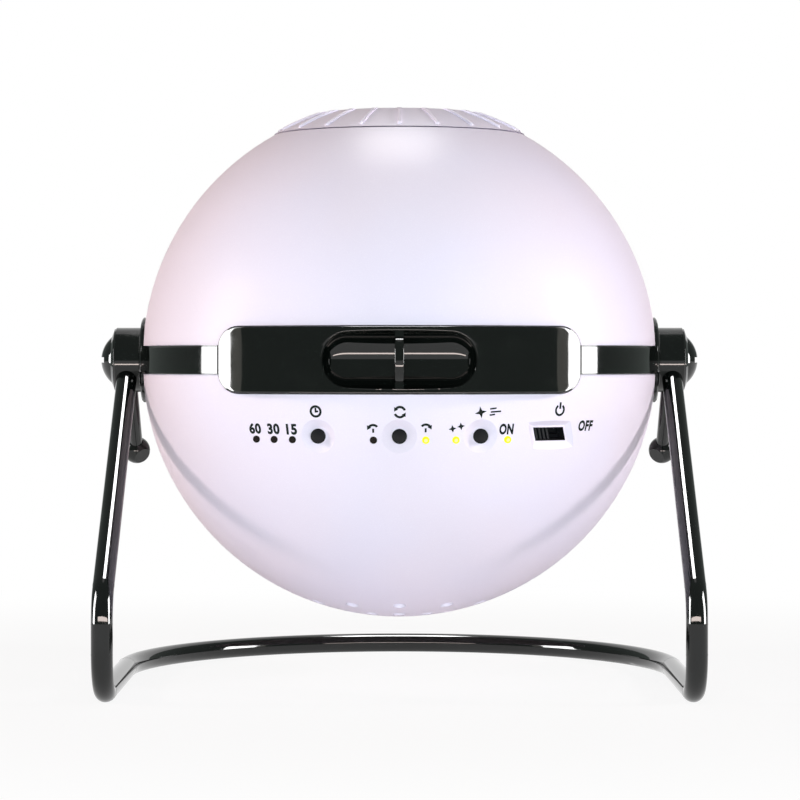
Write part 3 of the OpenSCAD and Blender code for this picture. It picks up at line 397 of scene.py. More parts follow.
@cached
def gear_acetal(shader):
    """Ivory acetal of the two gears."""
    tone = shader.noise(5 * MM, 2.0)
    shader.feed(
        base_color=shader.mix(tone, (0.70, 0.66, 0.54), (0.78, 0.74, 0.63)),
        roughness=0.34 + tone * 0.08,
        subsurface_weight=0.08,
        subsurface_scale=1 * MM,
    )
    shader.bump(shader.noise(0.25 * MM, 2.0), 0.006 * MM)
    return shader


@cached
def star_film(shader):
    """Dark film of the star disc with clear specks for stars."""
    cells = {"Vector": shader.place(), "Scale": 1 / (1.1 * MM)}
    distance = shader.node("TexVoronoi", {"feature": "F1"}, cells)
    cell = shader.node("TexVoronoi", {"feature": "F1"}, cells, output="Color")
    bright = shader.node("SeparateColor", inputs={0: cell})
    stars = distance < bright * 0.16
    shader.feed(
        base_color=shader.mix(stars, (0.012, 0.014, 0.028), (0.92, 0.94, 1.0)),
        roughness=0.14 + stars * 0.3,
        coat_weight=0.6,
    )
    return shader


@cached
def lit_dot(shader):
    """Indicator dot that is on."""
    glow = shader.noise(0.7 * MM, 1.0)
    shader.feed(
        base_color=(0.3, 0.3, 0.01),
        roughness=0.5,
        specular_ior_level=0.0,
        emission_color=shader.mix(glow, tuple(colours().lit), (1.0, 1.0, 0.02)),
        emission_strength=1.0,
    )
    return shader


@cached
def lit_dot_core(shader):
    """Pale middle of an indicator dot that is on."""
    glow = shader.noise(0.5 * MM, 1.0)
    shader.feed(
        base_color=(0.3, 0.3, 0.05),
        roughness=0.5,
        specular_ior_level=0.0,
        emission_color=shader.mix(glow, (1.0, 1.0, 0.25), (1.0, 1.0, 0.5)),
        emission_strength=1.0,
    )
    return shader


@cached
def dark_dot(shader):
    """Indicator dot that is off: smoked clear plastic over a dark well."""
    depth = shader.noise(0.6 * MM, 2.0)
    shader.feed(
        base_color=shader.mix(depth, (0.004, 0.003, 0.003), (0.018, 0.012, 0.010)),
        roughness=0.18 + depth * 0.1,
        specular_ior_level=0.12,
    )
    return shader


@cached
def gasket_rubber(shader):
    """Dull black of the strip round the panel: a painted shadow of the gap between panel and ball."""
    grain = shader.noise(0.3 * MM, 2.0)
    shader.feed(
        # Painted shadow: near-black colour that stands for the shade in the gap round the panel
        base_color=shader.mix(grain, (0.006, 0.007, 0.007), (0.012, 0.013, 0.013)),
        roughness=0.85 + grain * 0.1,
        specular_ior_level=0.05,
    )
    return shader


@cached
def print_ink(shader):
    """Pad-printed ink, a little uneven."""
    cover = shader.noise(0.35 * MM, 3.0)
    shader.feed(
        base_color=shader.mix(cover, tuple(colours().ink), (0.010, 0.016, 0.014)),
        roughness=0.45 + cover * 0.2,
        specular_ior_level=0.08,
    )
    return shader


FINISHES = {
    "pearl_plastic": pearl_plastic,
    "gloss_black": gloss_black,
    "black_enamel": black_enamel,
    "button_black": button_black,
    "inner_black": inner_black,
    "zinc_steel": zinc_steel,
    "sink_aluminium": sink_aluminium,
    "circuit_green": circuit_green,
    "clear_glass": clear_glass,
    "lamp_white": lamp_ceramic,
    "gear_acetal": gear_acetal,
    "disc_film": star_film,
    "dot_amber": lit_dot,
    "dot_dark": dark_dot,
}


def node_slots():
    """Each CAD node's material slot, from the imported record."""
    return {part["node"]: part["material_slot"] for part in frame["record"]["subparts"]}


# Mesh helpers


def body_of_node(node):
    """The CAD body that carries a node."""
    return frame["nodes"][node]["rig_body"]


def add_piece(name, draw, finish, body, smooth=True):
    """Makes a piece of the object that rides a CAD body, drawn in the part's own frame."""
    bm = bmesh.new()
    draw(bm)
    mesh = bpy.data.meshes.new(name)
    bm.to_mesh(mesh)
    bm.free()
    if smooth:
        mesh.shade_smooth()
    mesh.materials.append(finish())
    piece = bpy.data.objects.new(name, mesh)
    bpy.context.scene.collection.objects.link(piece)
    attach(piece, body)


def dress(node, finish):
    """Gives a CAD node its finish."""
    materials = frame["nodes"][node].data.materials
    materials.clear()
    materials.append(finish())


def join_rows(bm, row, after):
    """Joins two closed rows of vertices with quads."""
    for i, vert in enumerate(row):
        j = (i + 1) % len(row)
        bm.faces.new((vert, row[j], after[j], after[i]))


def skin_rows(bm, rows):
    """Skins closed rows of points that all have the same count."""
    made = [[bm.verts.new(point) for point in row] for row in rows]
    for row, after in zip(made, made[1:]):
        join_rows(bm, row, after)
    return made


def cap_ends(bm, made):
    """Closes the first and last of the rows."""
    for row in (made[0], made[-1]):
        bm.faces.new(row)


def round_bar(bm, path, radius, sides):
    """A round bar along a path of points from the ball's centre, with domed ends."""
    start, end = path[0], path[-1]
    first, last = (path[1] - start).normalized(), (end - path[-2]).normalized()
    dome = [math.radians(a) for a in (85, 60, 35, 15)]
    points = [(start - first * radius * math.sin(a), radius * math.cos(a), first) for a in dome]
    for i, point in enumerate(path):
        along = path[min(i + 1, len(path) - 1)] - path[max(i - 1, 0)]
        points.append((point, radius, along.normalized()))
    points += [(end + last * radius * math.sin(a), radius * math.cos(a), last) for a in reversed(dome)]
    turns = [2 * math.pi * i / sides for i in range(sides)]
    rows = []
    for point, size, along in points:
        out = (point - along * point.dot(along)).normalized()
        aside = along.cross(out)
        ring = [(out * math.cos(t) + aside * math.sin(t)) * size for t in turns]
        rows.append([BALL_CENTRE + point + spoke for spoke in ring])
    cap_ends(bm, skin_rows(bm, rows))
    bmesh.ops.recalc_face_normals(bm, faces=bm.faces)


# Skins over the CAD mouldings, from the ball's centre. Angles are in degrees.

# The front panel. Its finger recess is a straight trough along X with a round floor and round ends.
SKIN_PROUD = 0.03 * MM  # how far the skin stands out of the CAD face
SKIN_DEPTH = 2.1 * MM  # how far it reaches back round the rim
FACE_SHARES = (0.04, 0.15, 0.3, 0.45, 0.6, 0.75, 0.9, 1.0)  # rows from the rim to the recess
RECESS_TUBE = 7.645 * MM  # radius of the trough
RECESS_AXIS = 1.2 * MM  # how far its axis lies in front of the CAD face
RECESS_REACH = 13.6 * MM  # half of its straight length
RECESS_DEPTH = 1.1 * MM  # how far the skin goes down into it
LIP_ROUND = 0.3 * MM  # rounding of its edge
LIP_INSIDE = 0.04 * MM  # how far the skin stands off its wall

# The dull black strip round the panel, a painted shadow of the gap between panel and ball: each row's reach
# past the panel's outline and its drop, in millimetres
GAP_SHADOW_DEPTH = 1.9 * MM
GAP_SHADOW_ROWS = ((-0.2, 0.3), (-0.2, 0), (0.26, 0), (0.3, 0.06), (0.3, 0.3))

# The grip fin
FIN_HALF = 1.19 * MM  # half of its thickness
FIN_NOSE = 7 * MM  # radius of its front, seen from the side
FIN_ROOT = 0.4 * MM  # how far its ends go under the panel's face
FIN_BED = 0.3 * MM  # how far its back goes into the trough's floor
FIN_THIN = 0.2 * MM  # its least depth
FIN_BEVEL = 0.28 * MM

# The indicator dots that are on
LIT_AZIMUTHS = (5.7, 12.3, 24.2)
DOT_LATITUDE = -16.8
DOT_CORE = 0.5 * MM
DOT_LIFT = 0.02 * MM

# The power switch's slanted window, and each row of its collar: inset and depth, in millimetres
SWITCH_AZIMUTH = 35.5
SWITCH_TILT = 16
SWITCH_SLANT = 23.5
SWITCH_WINDOW = (10.05 * MM, 3.7 * MM)
LINER_ROWS = ((0.02, 4.3), (0.1, 4.3), (0.1, 1.35), (0.02, 1.35))

# The band's front pieces and the focus ring's ribs
BAND_START, BAND_SWEEP = 41.6, 38.2
BAND_PROUD = 0.7 * MM  # how far the band stands out of the ball
BAND_RIM = 0.75  # the band's rounding as a share of the panel's
BAND_LIFT = 0.05 * MM
RIB_COUNT = 20
RIB_START, RIB_SWEEP = 19.0, 8.6
RIB_LIFT = 0.25 * MM


def panel_radius():
    """Radius of the front panel's outer face, from its CAD node."""
    return BALL_CENTRE.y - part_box("tray_front")[0].y


def bent(x, z, radius):
    """A point of the panel at that radius: bent round the ball's upright axis."""
    return BALL_CENTRE + Vector((x, -math.sqrt(radius**2 - x**2), z))


def rounded_outline(width, height, corner):
    """A rounded rectangle, counter-clockwise, always with the same count of points."""
    half_w, half_h = width / 2, height / 2
    quarters = ((1, -1, -90), (1, 1, 0), (-1, 1, 90), (-1, -1, 180))

    def on_corner(quarter, turn):
        side, rise, start = quarters[quarter]
        a = math.radians(start + turn)
        return (
            side * (half_w - corner) + corner * math.cos(a),
            rise * (half_h - corner) + corner * math.sin(a),
        )

    points = []
    for i in range(4):
        points += [on_corner(i, 90 * step / 8) for step in range(9)]
        last, target = points[-1], on_corner((i + 1) % 4, 0)
        count = 4 if i % 2 == 0 else 56
        for n in range(1, count):
            points.append(tuple(last[k] + (target[k] - last[k]) * n / count for k in (0, 1)))
    return points


def panel_outline(reach):
    """The panel's outline, grown by a reach, or shrunk where that is negative."""
    low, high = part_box("tray_front")
    width, height = sizes().panel_width, high.z - low.z
    return rounded_outline(width + 2 * reach, height + 2 * reach, sizes().panel_corner + reach)


def recess_edge(direction, radius, tube, axis):
    """Where a ray from the panel's middle leaves the finger recess, at a radius of the panel."""
    near, far = 0.0, 60 * MM
    length = math.hypot(*direction)
    for _ in range(40):
        half = (near + far) / 2
        x, z = (half * value / length for value in direction)
        depth = axis - math.sqrt(radius**2 - x**2)
        if max(0.0, abs(x) - RECESS_REACH) ** 2 + depth**2 + z**2 < tube**2:
            near = half
        else:
            far = half
    return near * direction[0] / length, near * direction[1] / length


def panel_skin(bm):
    """The panel's face with its rounded rim and the rounded edge of the finger recess."""
    face, axis = panel_radius() + SKIN_PROUD, panel_radius() + RECESS_AXIS
    rim = sizes().rim_round
    profile = [(SKIN_PROUD, SKIN_DEPTH), (SKIN_PROUD, rim)]
    for a in (math.radians(15 * step) for step in range(1, 7)):
        profile.append((SKIN_PROUD - rim * (1 - math.cos(a)), rim * (1 - math.sin(a))))
    rows = [[bent(x, z, face - drop) for x, z in panel_outline(reach)] for reach, drop in profile]
    outer = panel_outline(-rim)
    inner = [recess_edge(point, face, RECESS_TUBE + LIP_ROUND, axis) for point in outer]
    for share in FACE_SHARES:
        places = ([a[k] + (b[k] - a[k]) * share for k in (0, 1)] for a, b in zip(outer, inner))
        rows.append([bent(x, z, face) for x, z in places])
    edges = []
    for step in range(1, 6):
        a = math.radians(18 * step)
        tube = RECESS_TUBE + LIP_ROUND * (1 - math.sin(a)) - LIP_INSIDE * step / 5
        edges.append((face - LIP_ROUND * (1 - math.cos(a)), tube))
    edges.append((face - RECESS_DEPTH, RECESS_TUBE - LIP_INSIDE))
    for radius, tube in edges:
        places = (recess_edge(point, radius, tube, axis) for point in outer)
        rows.append([bent(x, z, radius) for x, z in places])
    skin_rows(bm, rows)
    bmesh.ops.recalc_face_normals(bm, faces=bm.faces)
    largest = max(bm.faces, key=lambda f: f.calc_area())
    if largest.normal.y > 0:
        bmesh.ops.reverse_faces(bm, faces=bm.faces)


def panel_gasket(bm):
    """A thin dull black strip round the panel: a painted shadow that shows the gap's shade as a dark line."""
    radius = panel_radius() - GAP_SHADOW_DEPTH
    rows = []
    for reach, drop in GAP_SHADOW_ROWS:
        rows.append([bent(x, z, radius - drop * MM) for x, z in panel_outline(reach * MM)])
    skin_rows(bm, rows)
    bmesh.ops.recalc_face_normals(bm, faces=bm.faces)


def grip_fin(bm):
    """The rounded fin across the finger recess, by which the tray is pulled."""
    face = panel_radius()
    centre = face + sizes().fin_proud - FIN_NOSE
    top = math.sqrt(FIN_NOSE**2 - (face - FIN_ROOT - centre) ** 2)
    rows = []
    for step in range(33):
        z = top * math.sin(math.radians(-90 + 180 * step / 32))
        front = centre + math.sqrt(FIN_NOSE**2 - z**2)
        floor = face + RECESS_AXIS - math.sqrt(RECESS_TUBE**2 - z**2)
        back = min(front - FIN_THIN, floor - FIN_BED)
        corners = ((-FIN_HALF, front), (FIN_HALF, front), (FIN_HALF, back), (-FIN_HALF, back))
        rows.append([BALL_CENTRE + Vector((x, -y, z)) for x, y in corners])
    made = skin_rows(bm, rows)
    cap_ends(bm, made)
    bmesh.ops.recalc_face_normals(bm, faces=bm.faces)
    front = {v for row in made for v in row[:2]}
    sharp = [e for e in bm.edges if all(v in front for v in e.verts) and e.calc_face_angle(0) > 1]
    bmesh.ops.bevel(
        bm, geom=sharp, offset=FIN_BEVEL, offset_type="OFFSET", segments=4, profile=0.5, affect="EDGES",
        material=-1,
    )


def dot_cores(bm):
    """The pale middles of the dots that are lit."""
    dots = frame["nodes"]["dots_lit"]
    reach = max((dots.matrix_world @ v.co - BALL_CENTRE).length for v in dots.data.vertices) + DOT_LIFT
    for azimuth in LIT_AZIMUTHS:
        out = (on_ball(azimuth, DOT_LATITUDE, 1) - BALL_CENTRE).normalized()
        turn = out.to_track_quat("Z", "Y").to_matrix().to_4x4()
        matrix = Matrix.Translation(BALL_CENTRE + out * reach) @ turn
        bmesh.ops.create_circle(bm, cap_ends=True, radius=DOT_CORE, segments=20, matrix=matrix)


def switch_liner(bm):
    """The black collar inside the power switch's window."""
    aside = Matrix.Rotation(math.radians(SWITCH_AZIMUTH), 3, "Z")
    turn = aside @ Matrix.Rotation(math.radians(SWITCH_TILT), 3, "X")
    ball = sizes().ball_radius
    rows = []
    for inset, depth in LINER_ROWS:
        half_w, half_h = (side / 2 - inset * MM for side in SWITCH_WINDOW)
        lean = half_h * math.tan(math.radians(SWITCH_SLANT))
        corners = (
            (lean - half_w, -half_h), (lean + half_w, -half_h),
            (half_w - lean, half_h), (-half_w - lean, half_h),
        )
        rows.append([BALL_CENTRE + turn @ Vector((x, depth * MM - ball, z)) for x, z in corners])
    made = skin_rows(bm, rows)
    join_rows(bm, made[-1], made[0])
    bmesh.ops.recalc_face_normals(bm, faces=bm.faces)


def band_rims(bm, side):
    """Rounded rims along a front band piece."""
    low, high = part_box("band_front_" + side)
    radius = sizes().rim_round * BAND_RIM
    reach = sizes().ball_radius + BAND_PROUD - radius + BAND_LIFT
    height = (high.z - low.z) / 2 - radius + BAND_LIFT
    for rise in (-1, 1):
        path = []
        for step in range(41):
            a = math.radians(BAND_START + BAND_SWEEP * step / 40)
            out = Vector((SIDES[side] * math.sin(a), -math.cos(a), 0)) * reach
            path.append(out + Vector((0, 0, rise * height)))
        round_bar(bm, path, radius, sides=10)


def ring_ribs(bm):
    """The focus ring's ribs with round backs."""
    reach = sizes().ball_radius + RIB_LIFT
    for count in range(RIB_COUNT):
        turn = Matrix.Rotation(math.radians(360 / RIB_COUNT * count), 3, "Z")
        path = []
        for step in range(9):
            a = math.radians(RIB_START + RIB_SWEEP * step / 8)
            path.append(turn @ Vector((0, -math.sin(a), math.cos(a))) * reach)
        round_bar(bm, path, sizes().rib_radius, sides=14)


# Printed marks: drawn flat round their own middle, then laid on the ball along its meridians

LONGEST_FLAT = 0.9 * MM  # longer edges are divided before they are bent round the ball
LETTER_WEIGHT = 0.046  # how far the letters' outlines are thickened, as a share of their size
LETTER_SPACING = 1.08


def flat_bar(bm, start, end, width):
    """A straight stroke between two points."""
    start, end = Vector(start), Vector(end)
    along = end - start
    turn = Matrix.Rotation(math.atan2(along.y, along.x), 4, "Z")
    stretch = Matrix.Diagonal((along.length / 2, width / 2, 1, 1))
    matrix = Matrix.Translation(((start + end) / 2).to_3d()) @ turn @ stretch
    bmesh.ops.create_grid(bm, x_segments=6, y_segments=1, size=1, matrix=matrix)


def flat_arc(bm, middle, radius, width, start, sweep):
    """A curved stroke; angles in degrees from +X."""
    centre = Vector(middle).to_3d()
    turn = Matrix.Rotation(math.radians(start), 4, "Z")
    ends = [bm.verts.new(centre + turn @ Vector((r, 0, 0))) for r in (radius - width / 2, radius + width / 2)]
    edge = bm.edges.new(ends)
    full = sweep >= 360
    bmesh.ops.spin(
        bm, geom=[*ends, edge], cent=centre, axis=(0, 0, 1), dvec=(0, 0, 0),
        angle=math.radians(sweep), steps=max(8, round(sweep / 8)), use_merge=full, use_duplicate=False,
    )


def flat_head(bm, tip, heading, size):
    """A filled arrow head whose point looks along a heading in degrees."""
    matrix = Matrix.Translation(Vector(tip).to_3d()) @ Matrix.Rotation(math.radians(heading), 4, "Z")
    turn = matrix @ Matrix.Rotation(math.radians(-90), 4, "Z")
    bmesh.ops.create_circle(bm, cap_ends=True, radius=size, segments=3, matrix=turn)


def flat_star(bm, middle, radius, inner, turn):
    """A filled star with four points."""
    centre = Vector(middle).to_3d()
    matrix = Matrix.Translation(centre) @ Matrix.Rotation(math.radians(turn), 4, "Z")
    made = bmesh.ops.create_circle(bm, cap_ends=True, radius=radius, segments=8, matrix=matrix)
    for dent in made["verts"][1::2]:
        dent.co = centre + (dent.co - centre) * inner


def letters(bm, words, height, stretch):
    """Plain bold letters or figures, centred, with their width stretched or condensed."""
    curve = bpy.data.curves.new("letters", "FONT")
    curve.body = words
    curve.offset = LETTER_WEIGHT
    curve.resolution_u = 5
    curve.space_character = LETTER_SPACING
    shown = bpy.data.objects.new("letters", curve)
    bpy.context.scene.collection.objects.link(shown)
    mesh = bpy.data.meshes.new_from_object(shown.evaluated_get(bpy.context.evaluated_depsgraph_get()))
    bpy.data.objects.remove(shown)
    bpy.data.curves.remove(curve)
    fresh = bmesh.new()
    fresh.from_mesh(mesh)
    low = Vector((min(v.co.x for v in fresh.verts), min(v.co.y for v in fresh.verts)))
    high = Vector((max(v.co.x for v in fresh.verts), max(v.co.y for v in fresh.verts)))
    scale = height / (high.y - low.y)
    for v in fresh.verts:
        v.co.x = (v.co.x - (low.x + high.x) / 2) * scale * stretch
        v.co.y = (v.co.y - (low.y + high.y) / 2) * scale
        v.co.z = 0
    made = bpy.data.meshes.new("letters")
    fresh.to_mesh(made)
    fresh.free()
    bm.from_mesh(made)
    bpy.data.meshes.remove(made)
    bpy.data.meshes.remove(mesh)


def on_ball(azimuth, latitude, radius):
    """The place at a side angle and latitude, in degrees, and a distance from the ball's centre."""
    az, lat = math.radians(azimuth), math.radians(latitude)
    out = Vector((math.sin(az) * math.cos(lat), -math.cos(az) * math.cos(lat), math.sin(lat)))
    return BALL_CENTRE + out * radius


def lay_on_ball(bm, azimuth, latitude):
    """Turns a flat drawing into a thin skin on the ball."""
    bmesh.ops.remove_doubles(bm, verts=bm.verts, dist=1e-7)
    bmesh.ops.triangulate(bm, faces=bm.faces)
    long_edges = [e for e in bm.edges if e.calc_length() > LONGEST_FLAT]
    bmesh.ops.subdivide_edges(bm, edges=long_edges, cuts=2)
    bmesh.ops.triangulate(bm, faces=bm.faces)
    radius = sizes().ball_radius + sizes().print_lift
    level = math.cos(math.radians(latitude))
    for v in bm.verts:
        az = azimuth + math.degrees(v.co.x / radius / level)
        lat = latitude + math.degrees(v.co.y / radius)
        v.co = on_ball(az, lat, radius)
    bmesh.ops.recalc_face_normals(bm, faces=bm.faces)
    middle = on_ball(azimuth, latitude, radius)
    turned = [f for f in bm.faces if f.normal.dot(middle - BALL_CENTRE) < 0]
    bmesh.ops.reverse_faces(bm, faces=turned)


def print_mark(name, azimuth, latitude, draw):
    """One printed mark on the ball."""

    def laid(bm):
        draw(bm)
        lay_on_ball(bm, azimuth, latitude)

    add_piece(name, laid, print_ink, "housing")


def clock_sign(bm):
    """A clock face with two hands."""
    tall, line = sizes().icon_height, sizes().stroke
    radius = tall / 2 - line / 2
    flat_arc(bm, (0, 0), radius, line, 0, 360)
    flat_bar(bm, (0, -line / 2), (0, radius * 0.72), line * 0.8)
    flat_bar(bm, (0, 0), (radius * 0.55, 0), line * 0.8)


def turning_sign(bm):
    """Two arrows that chase each other round."""
    tall, line = sizes().icon_height, sizes().stroke
    radius = tall / 2 - line / 2
    for start in (20, 200):
        flat_arc(bm, (0, 0), radius, line, start, 115)
        end = math.radians(start + 128)
        flat_head(bm, (radius * math.cos(end), radius * math.sin(end)), start + 218, line * 1.15)


def arrow_sign(direction):
    """A bent arrow that turns to one side."""

    def draw(bm):
        tall, line = sizes().icon_height * 0.42, sizes().stroke
        flat_arc(bm, (0, -tall * 0.4), tall, line, 40, 100)
        end = math.radians(30 if direction > 0 else 150)
        tip = (tall * math.cos(end), tall * math.sin(end) - tall * 0.4)
        flat_head(bm, tip, -60 if direction > 0 else 240, line * 1.2)
        flat_bar(bm, (0, -tall * 0.9), (0, -tall * 0.1), line * 0.8)

    return draw


def falling_star_sign(bm):
    """A four-pointed star with three short trails."""
    radius = sizes().icon_height / 2
    flat_star(bm, (0, 0), radius, inner=0.36, turn=12)
    for rise, near, far in ((0.55, 1.5, 2.6), (0.05, 1.65, 3.4), (-0.45, 1.5, 2.4)):
        start, end = (radius * near, radius * rise), (radius * far, radius * (rise + 0.12))
        flat_bar(bm, start, end, sizes().stroke * 0.7)


def two_stars_sign(bm):
    """Two small stars side by side."""
    radius = sizes().icon_height * 0.32
    for side in SIDES.values():
        flat_star(bm, (side * radius * 1.05, side * radius * 0.3), radius, inner=0.42, turn=10)


def power_sign(bm):
    """A broken ring with a bar."""
    tall, line = sizes().icon_height, sizes().stroke
    radius = tall / 2 - line / 2
    flat_arc(bm, (0, -line / 2), radius, line, 122, 296)
    flat_bar(bm, (0, 0), (0, tall / 2 + line * 0.2), line)


# Name, text, side angle and latitude in degrees, and stretch of the printed words
WORDS = (
    ("mark_60", "60", -32.9, -14.45, 0.98),
    ("mark_30", "30", -28.2, -14.5, 0.95),
    ("mark_15", "15", -23.8, -14.55, 0.95),
    ("mark_on", "ON", 23.6, -14.5, 0.68),
    ("mark_off", "OFF", 45.0, -14.0, 0.8),
)
# Name, side angle and latitude in degrees, and drawing of the printed signs
SIGNS = (
    ("mark_timer", -17.9, -10.7, clock_sign),
    ("mark_turn", 0.1, -10.8, turning_sign),
    ("mark_turn_left", -5.6, -14.2, arrow_sign(-1)),
    ("mark_turn_right", 5.6, -14.1, arrow_sign(1)),
    ("mark_falling_star", 17.4, -10.9, falling_star_sign),
    ("mark_stars", 12.3, -14.1, two_stars_sign),
    ("mark_power", 36.6, -10.3, power_sign),
)


# Operators


class PieceOperator:
    """Common to every operator of the panel."""

    bl_options = {"REGISTER", "UNDO"}


class ProjectorDress(PieceOperator, bpy.types.Operator):
    """Gives every CAD node the finish of its material slot"""

    bl_idname = "projector.dress"
    bl_label = "Finishes"

    def execute(self, context):
        slots = node_slots()
        for node in sorted(frame["nodes"]):
            dress(node, FINISHES[slots[node]])
        dress("switch_body", button_black)
        return {"FINISHED"}


class ProjectorSmallPieces(PieceOperator, bpy.types.Operator):
    """Sets the lit dots' pale middles and the collar in the switch's window"""

    bl_idname = "projector.small_pieces"
    bl_label = "Dots and switch"

    def execute(self, context):
        add_piece("dot_cores", dot_cores, lit_dot_core, body_of_node("dots_lit"))
        body = body_of_node("switch_body")
        add_piece("switch_liner", switch_liner, button_black, body, smooth=False)
        return {"FINISHED"}


class ProjectorPanelSkin(PieceOperator, bpy.types.Operator):
    """Rounds the front panel's rims, and sets its grip fin and the dark strip of painted shadow round it"""

    bl_idname = "projector.panel_skin"
    bl_label = "Front panel"

    def execute(self, context):
        body = body_of_node("tray_front")
        add_piece("panel_skin", panel_skin, gloss_black, body)
        add_piece("grip_fin", grip_fin, gloss_black, body)
        # Painted shadow: a dull black strip that stands for the shade in the gap round the panel
        add_piece("panel_gasket", panel_gasket, gasket_rubber, body)
        return {"FINISHED"}


class ProjectorBandRims(PieceOperator, bpy.types.Operator):
    """Rounds the rims of the front band pieces"""

    bl_idname = "projector.band_rims"
    bl_label = "Band rims"

    def execute(self, context):
        for side in SIDES:
            body = body_of_node("band_front_" + side)
            draw = functools.partial(band_rims, side=side)
            add_piece("band_rims_" + side, draw, gloss_black, body)
        return {"FINISHED"}


class ProjectorRingRibs(PieceOperator, bpy.types.Operator):
    """Rounds the focus ring's grip ribs"""

    bl_idname = "projector.ring_ribs"
    bl_label = "Ring ribs"

    def execute(self, context):
        add_piece("ring_ribs", ring_ribs, pearl_plastic, body_of_node("focus_ring"))
        return {"FINISHED"}


class ProjectorMarks(PieceOperator, bpy.types.Operator):
    """Prints the numbers, ON, OFF and plain signs on the ball"""

    bl_idname = "projector.marks"
    bl_label = "Printed marks"

    def execute(self, context):
        for name, text, azimuth, latitude, stretch in WORDS:
            draw = functools.partial(letters, words=text, height=sizes().number_height, stretch=stretch)
            print_mark(name, azimuth, latitude, draw)
        for name, azimuth, latitude, draw in SIGNS:
            print_mark(name, azimuth, latitude, draw)
        return {"FINISHED"}


class ProjectorStage(PieceOperator, bpy.types.Operator):
    """Sets the floor, backdrop, screen, lamps and camera"""

    bl_idname = "projector.stage"
    bl_label = "Studio"

    def execute(self, context):
        build_world()
        build_floor()
        build_screen()
        build_lamps()
        build_camera()
        return {"FINISHED"}


# Studio. Lengths are in metres, angles in degrees.

AIR_TINT = (1, 0.85, 0.78)
FLOOR_RADIUS = 2.4
FLOOR_COLOUR = (0.88, 0.88, 0.89, 1)
# The floor's own white as a share of what the camera sees, from near the part to far off
FLOOR_GLOW = (("From Min", 0.12), ("From Max", 0.34), ("To Min", 0.9), ("To Max", 1.0))
SCREEN_COLOUR = (0.88, 1.0, 0.94, 1)
SCREEN_RADIUS = 1.5
SCREEN_RISE = (-3, 83)
SCREEN_HALF_TURN = 150
# Name, setting, aim (side angle, rise, distance from the ball's centre), size and colour
SOFT_LAMPS = (
    ("front_lamp", "front", (0, -2, 1.1), (0.5, 0.13), (0.83, 0.945, 1.0)),
    ("left_lamp", "left", (-82, 14, 0.7), (0.06, 0.08), (1.0, 0.82, 0.76)),
    ("right_lamp", "right", (80, 16, 0.7), (0.06, 0.08), (1.0, 0.92, 0.93)),
    ("top_lamp", "top", (180, 80, 0.7), (0.25, 0.2), (1.0, 0.90, 0.90)),
)
# The upright strips on either side: name, side angle, width, share of the strips' brightness, colour
SIDE_STRIPS = (
    ("strip_", 81.2, 0.225, 1.0, (1, 1, 1)),
    ("strip_edge_", 68.8, 0.06, 0.03, (1, 0.95, 0.85)),
)
STRIP_DISTANCE = 0.65
STRIP_MIDDLE = 0.22  # height of their middle over the foot
STRIP_TALL = 0.42
# The same for the strips above and low in front
TOP_STRIP = ((180, 75, 0.7), (0.24, 0.30), 1.3, (1, 1, 1))
LOW_STRIP = (Vector((0, 0.179, 0.05)), (0.3, 0.012), 0.55, (1, 0.86, 0.80))
CAMERA_PITCH = 0.748
CAMERA_YAW = 0.0112


def seen_directly(tree):
    """1 for camera, glossy and transmission rays, which show a surface as it is; 0 for other rays."""
    path = tree.nodes.new("ShaderNodeLightPath")
    total = path.outputs["Is Camera Ray"]
    for kind in ("Is Glossy Ray", "Is Transmission Ray"):
        most = tree.nodes.new("ShaderNodeMath")
        most.operation = "MAXIMUM"
        tree.links.new(total, most.inputs[0])
        tree.links.new(path.outputs[kind], most.inputs[1])
        total = most.outputs[0]
    return total


def build_world():
    """White to the eye, and an even light on the object."""
    world = bpy.data.worlds.new("studio_air")
    world.use_nodes = True
    bpy.context.scene.world = world
    tree = world.node_tree
    shade = tree.nodes.new("ShaderNodeMix")
    shade.data_type = "RGBA"
    tree.links.new(seen_directly(tree), shade.inputs[0])
    shade.inputs[6].default_value = (*(studio().air * part for part in AIR_TINT), 1)
    shade.inputs[7].default_value = (1, 1, 1, 1)
    tree.links.new(shade.outputs[2], tree.nodes["Background"].inputs["Color"])


def stage_piece(name, bm, material):
    """A piece of the studio from a bmesh."""
    mesh = bpy.data.meshes.new(name)
    bm.to_mesh(mesh)
    bm.free()
    mesh.materials.append(material)
    piece = bpy.data.objects.new(name, mesh)
    bpy.context.scene.collection.objects.link(piece)
    return piece


def build_floor():
    """A pale floor that is white far off and keeps the object's soft shadow near it."""
    material = bpy.data.materials.new("pale_floor")
    material.use_nodes = True
    tree = material.node_tree
    diffuse = tree.nodes.new("ShaderNodeBsdfDiffuse")
    diffuse.inputs["Color"].default_value = FLOOR_COLOUR
    glow = tree.nodes.new("ShaderNodeEmission")
    blend = tree.nodes.new("ShaderNodeMixShader")
    where = tree.nodes.new("ShaderNodeTexCoord")
    length = tree.nodes.new("ShaderNodeVectorMath")
    length.operation = "LENGTH"
    fade = tree.nodes.new("ShaderNodeMapRange")
    fade.interpolation_type = "SMOOTHSTEP"
    for title, value in FLOOR_GLOW:
        fade.inputs[title].default_value = value
    share = tree.nodes.new("ShaderNodeMath")
    share.operation = "MULTIPLY"
    tree.links.new(where.outputs["Object"], length.inputs[0])
    tree.links.new(length.outputs["Value"], fade.inputs["Value"])
    tree.links.new(seen_directly(tree), share.inputs[0])
    tree.links.new(fade.outputs["Result"], share.inputs[1])
    tree.links.new(share.outputs[0], blend.inputs[0])
    tree.links.new(diffuse.outputs[0], blend.inputs[1])
    tree.links.new(glow.outputs[0], blend.inputs[2])
    tree.links.new(blend.outputs[0], tree.nodes["Material Output"].inputs["Surface"])
    bm = bmesh.new()
    bmesh.ops.create_circle(bm, cap_ends=True, radius=FLOOR_RADIUS, segments=96)
    stage_piece("floor", bm, material)


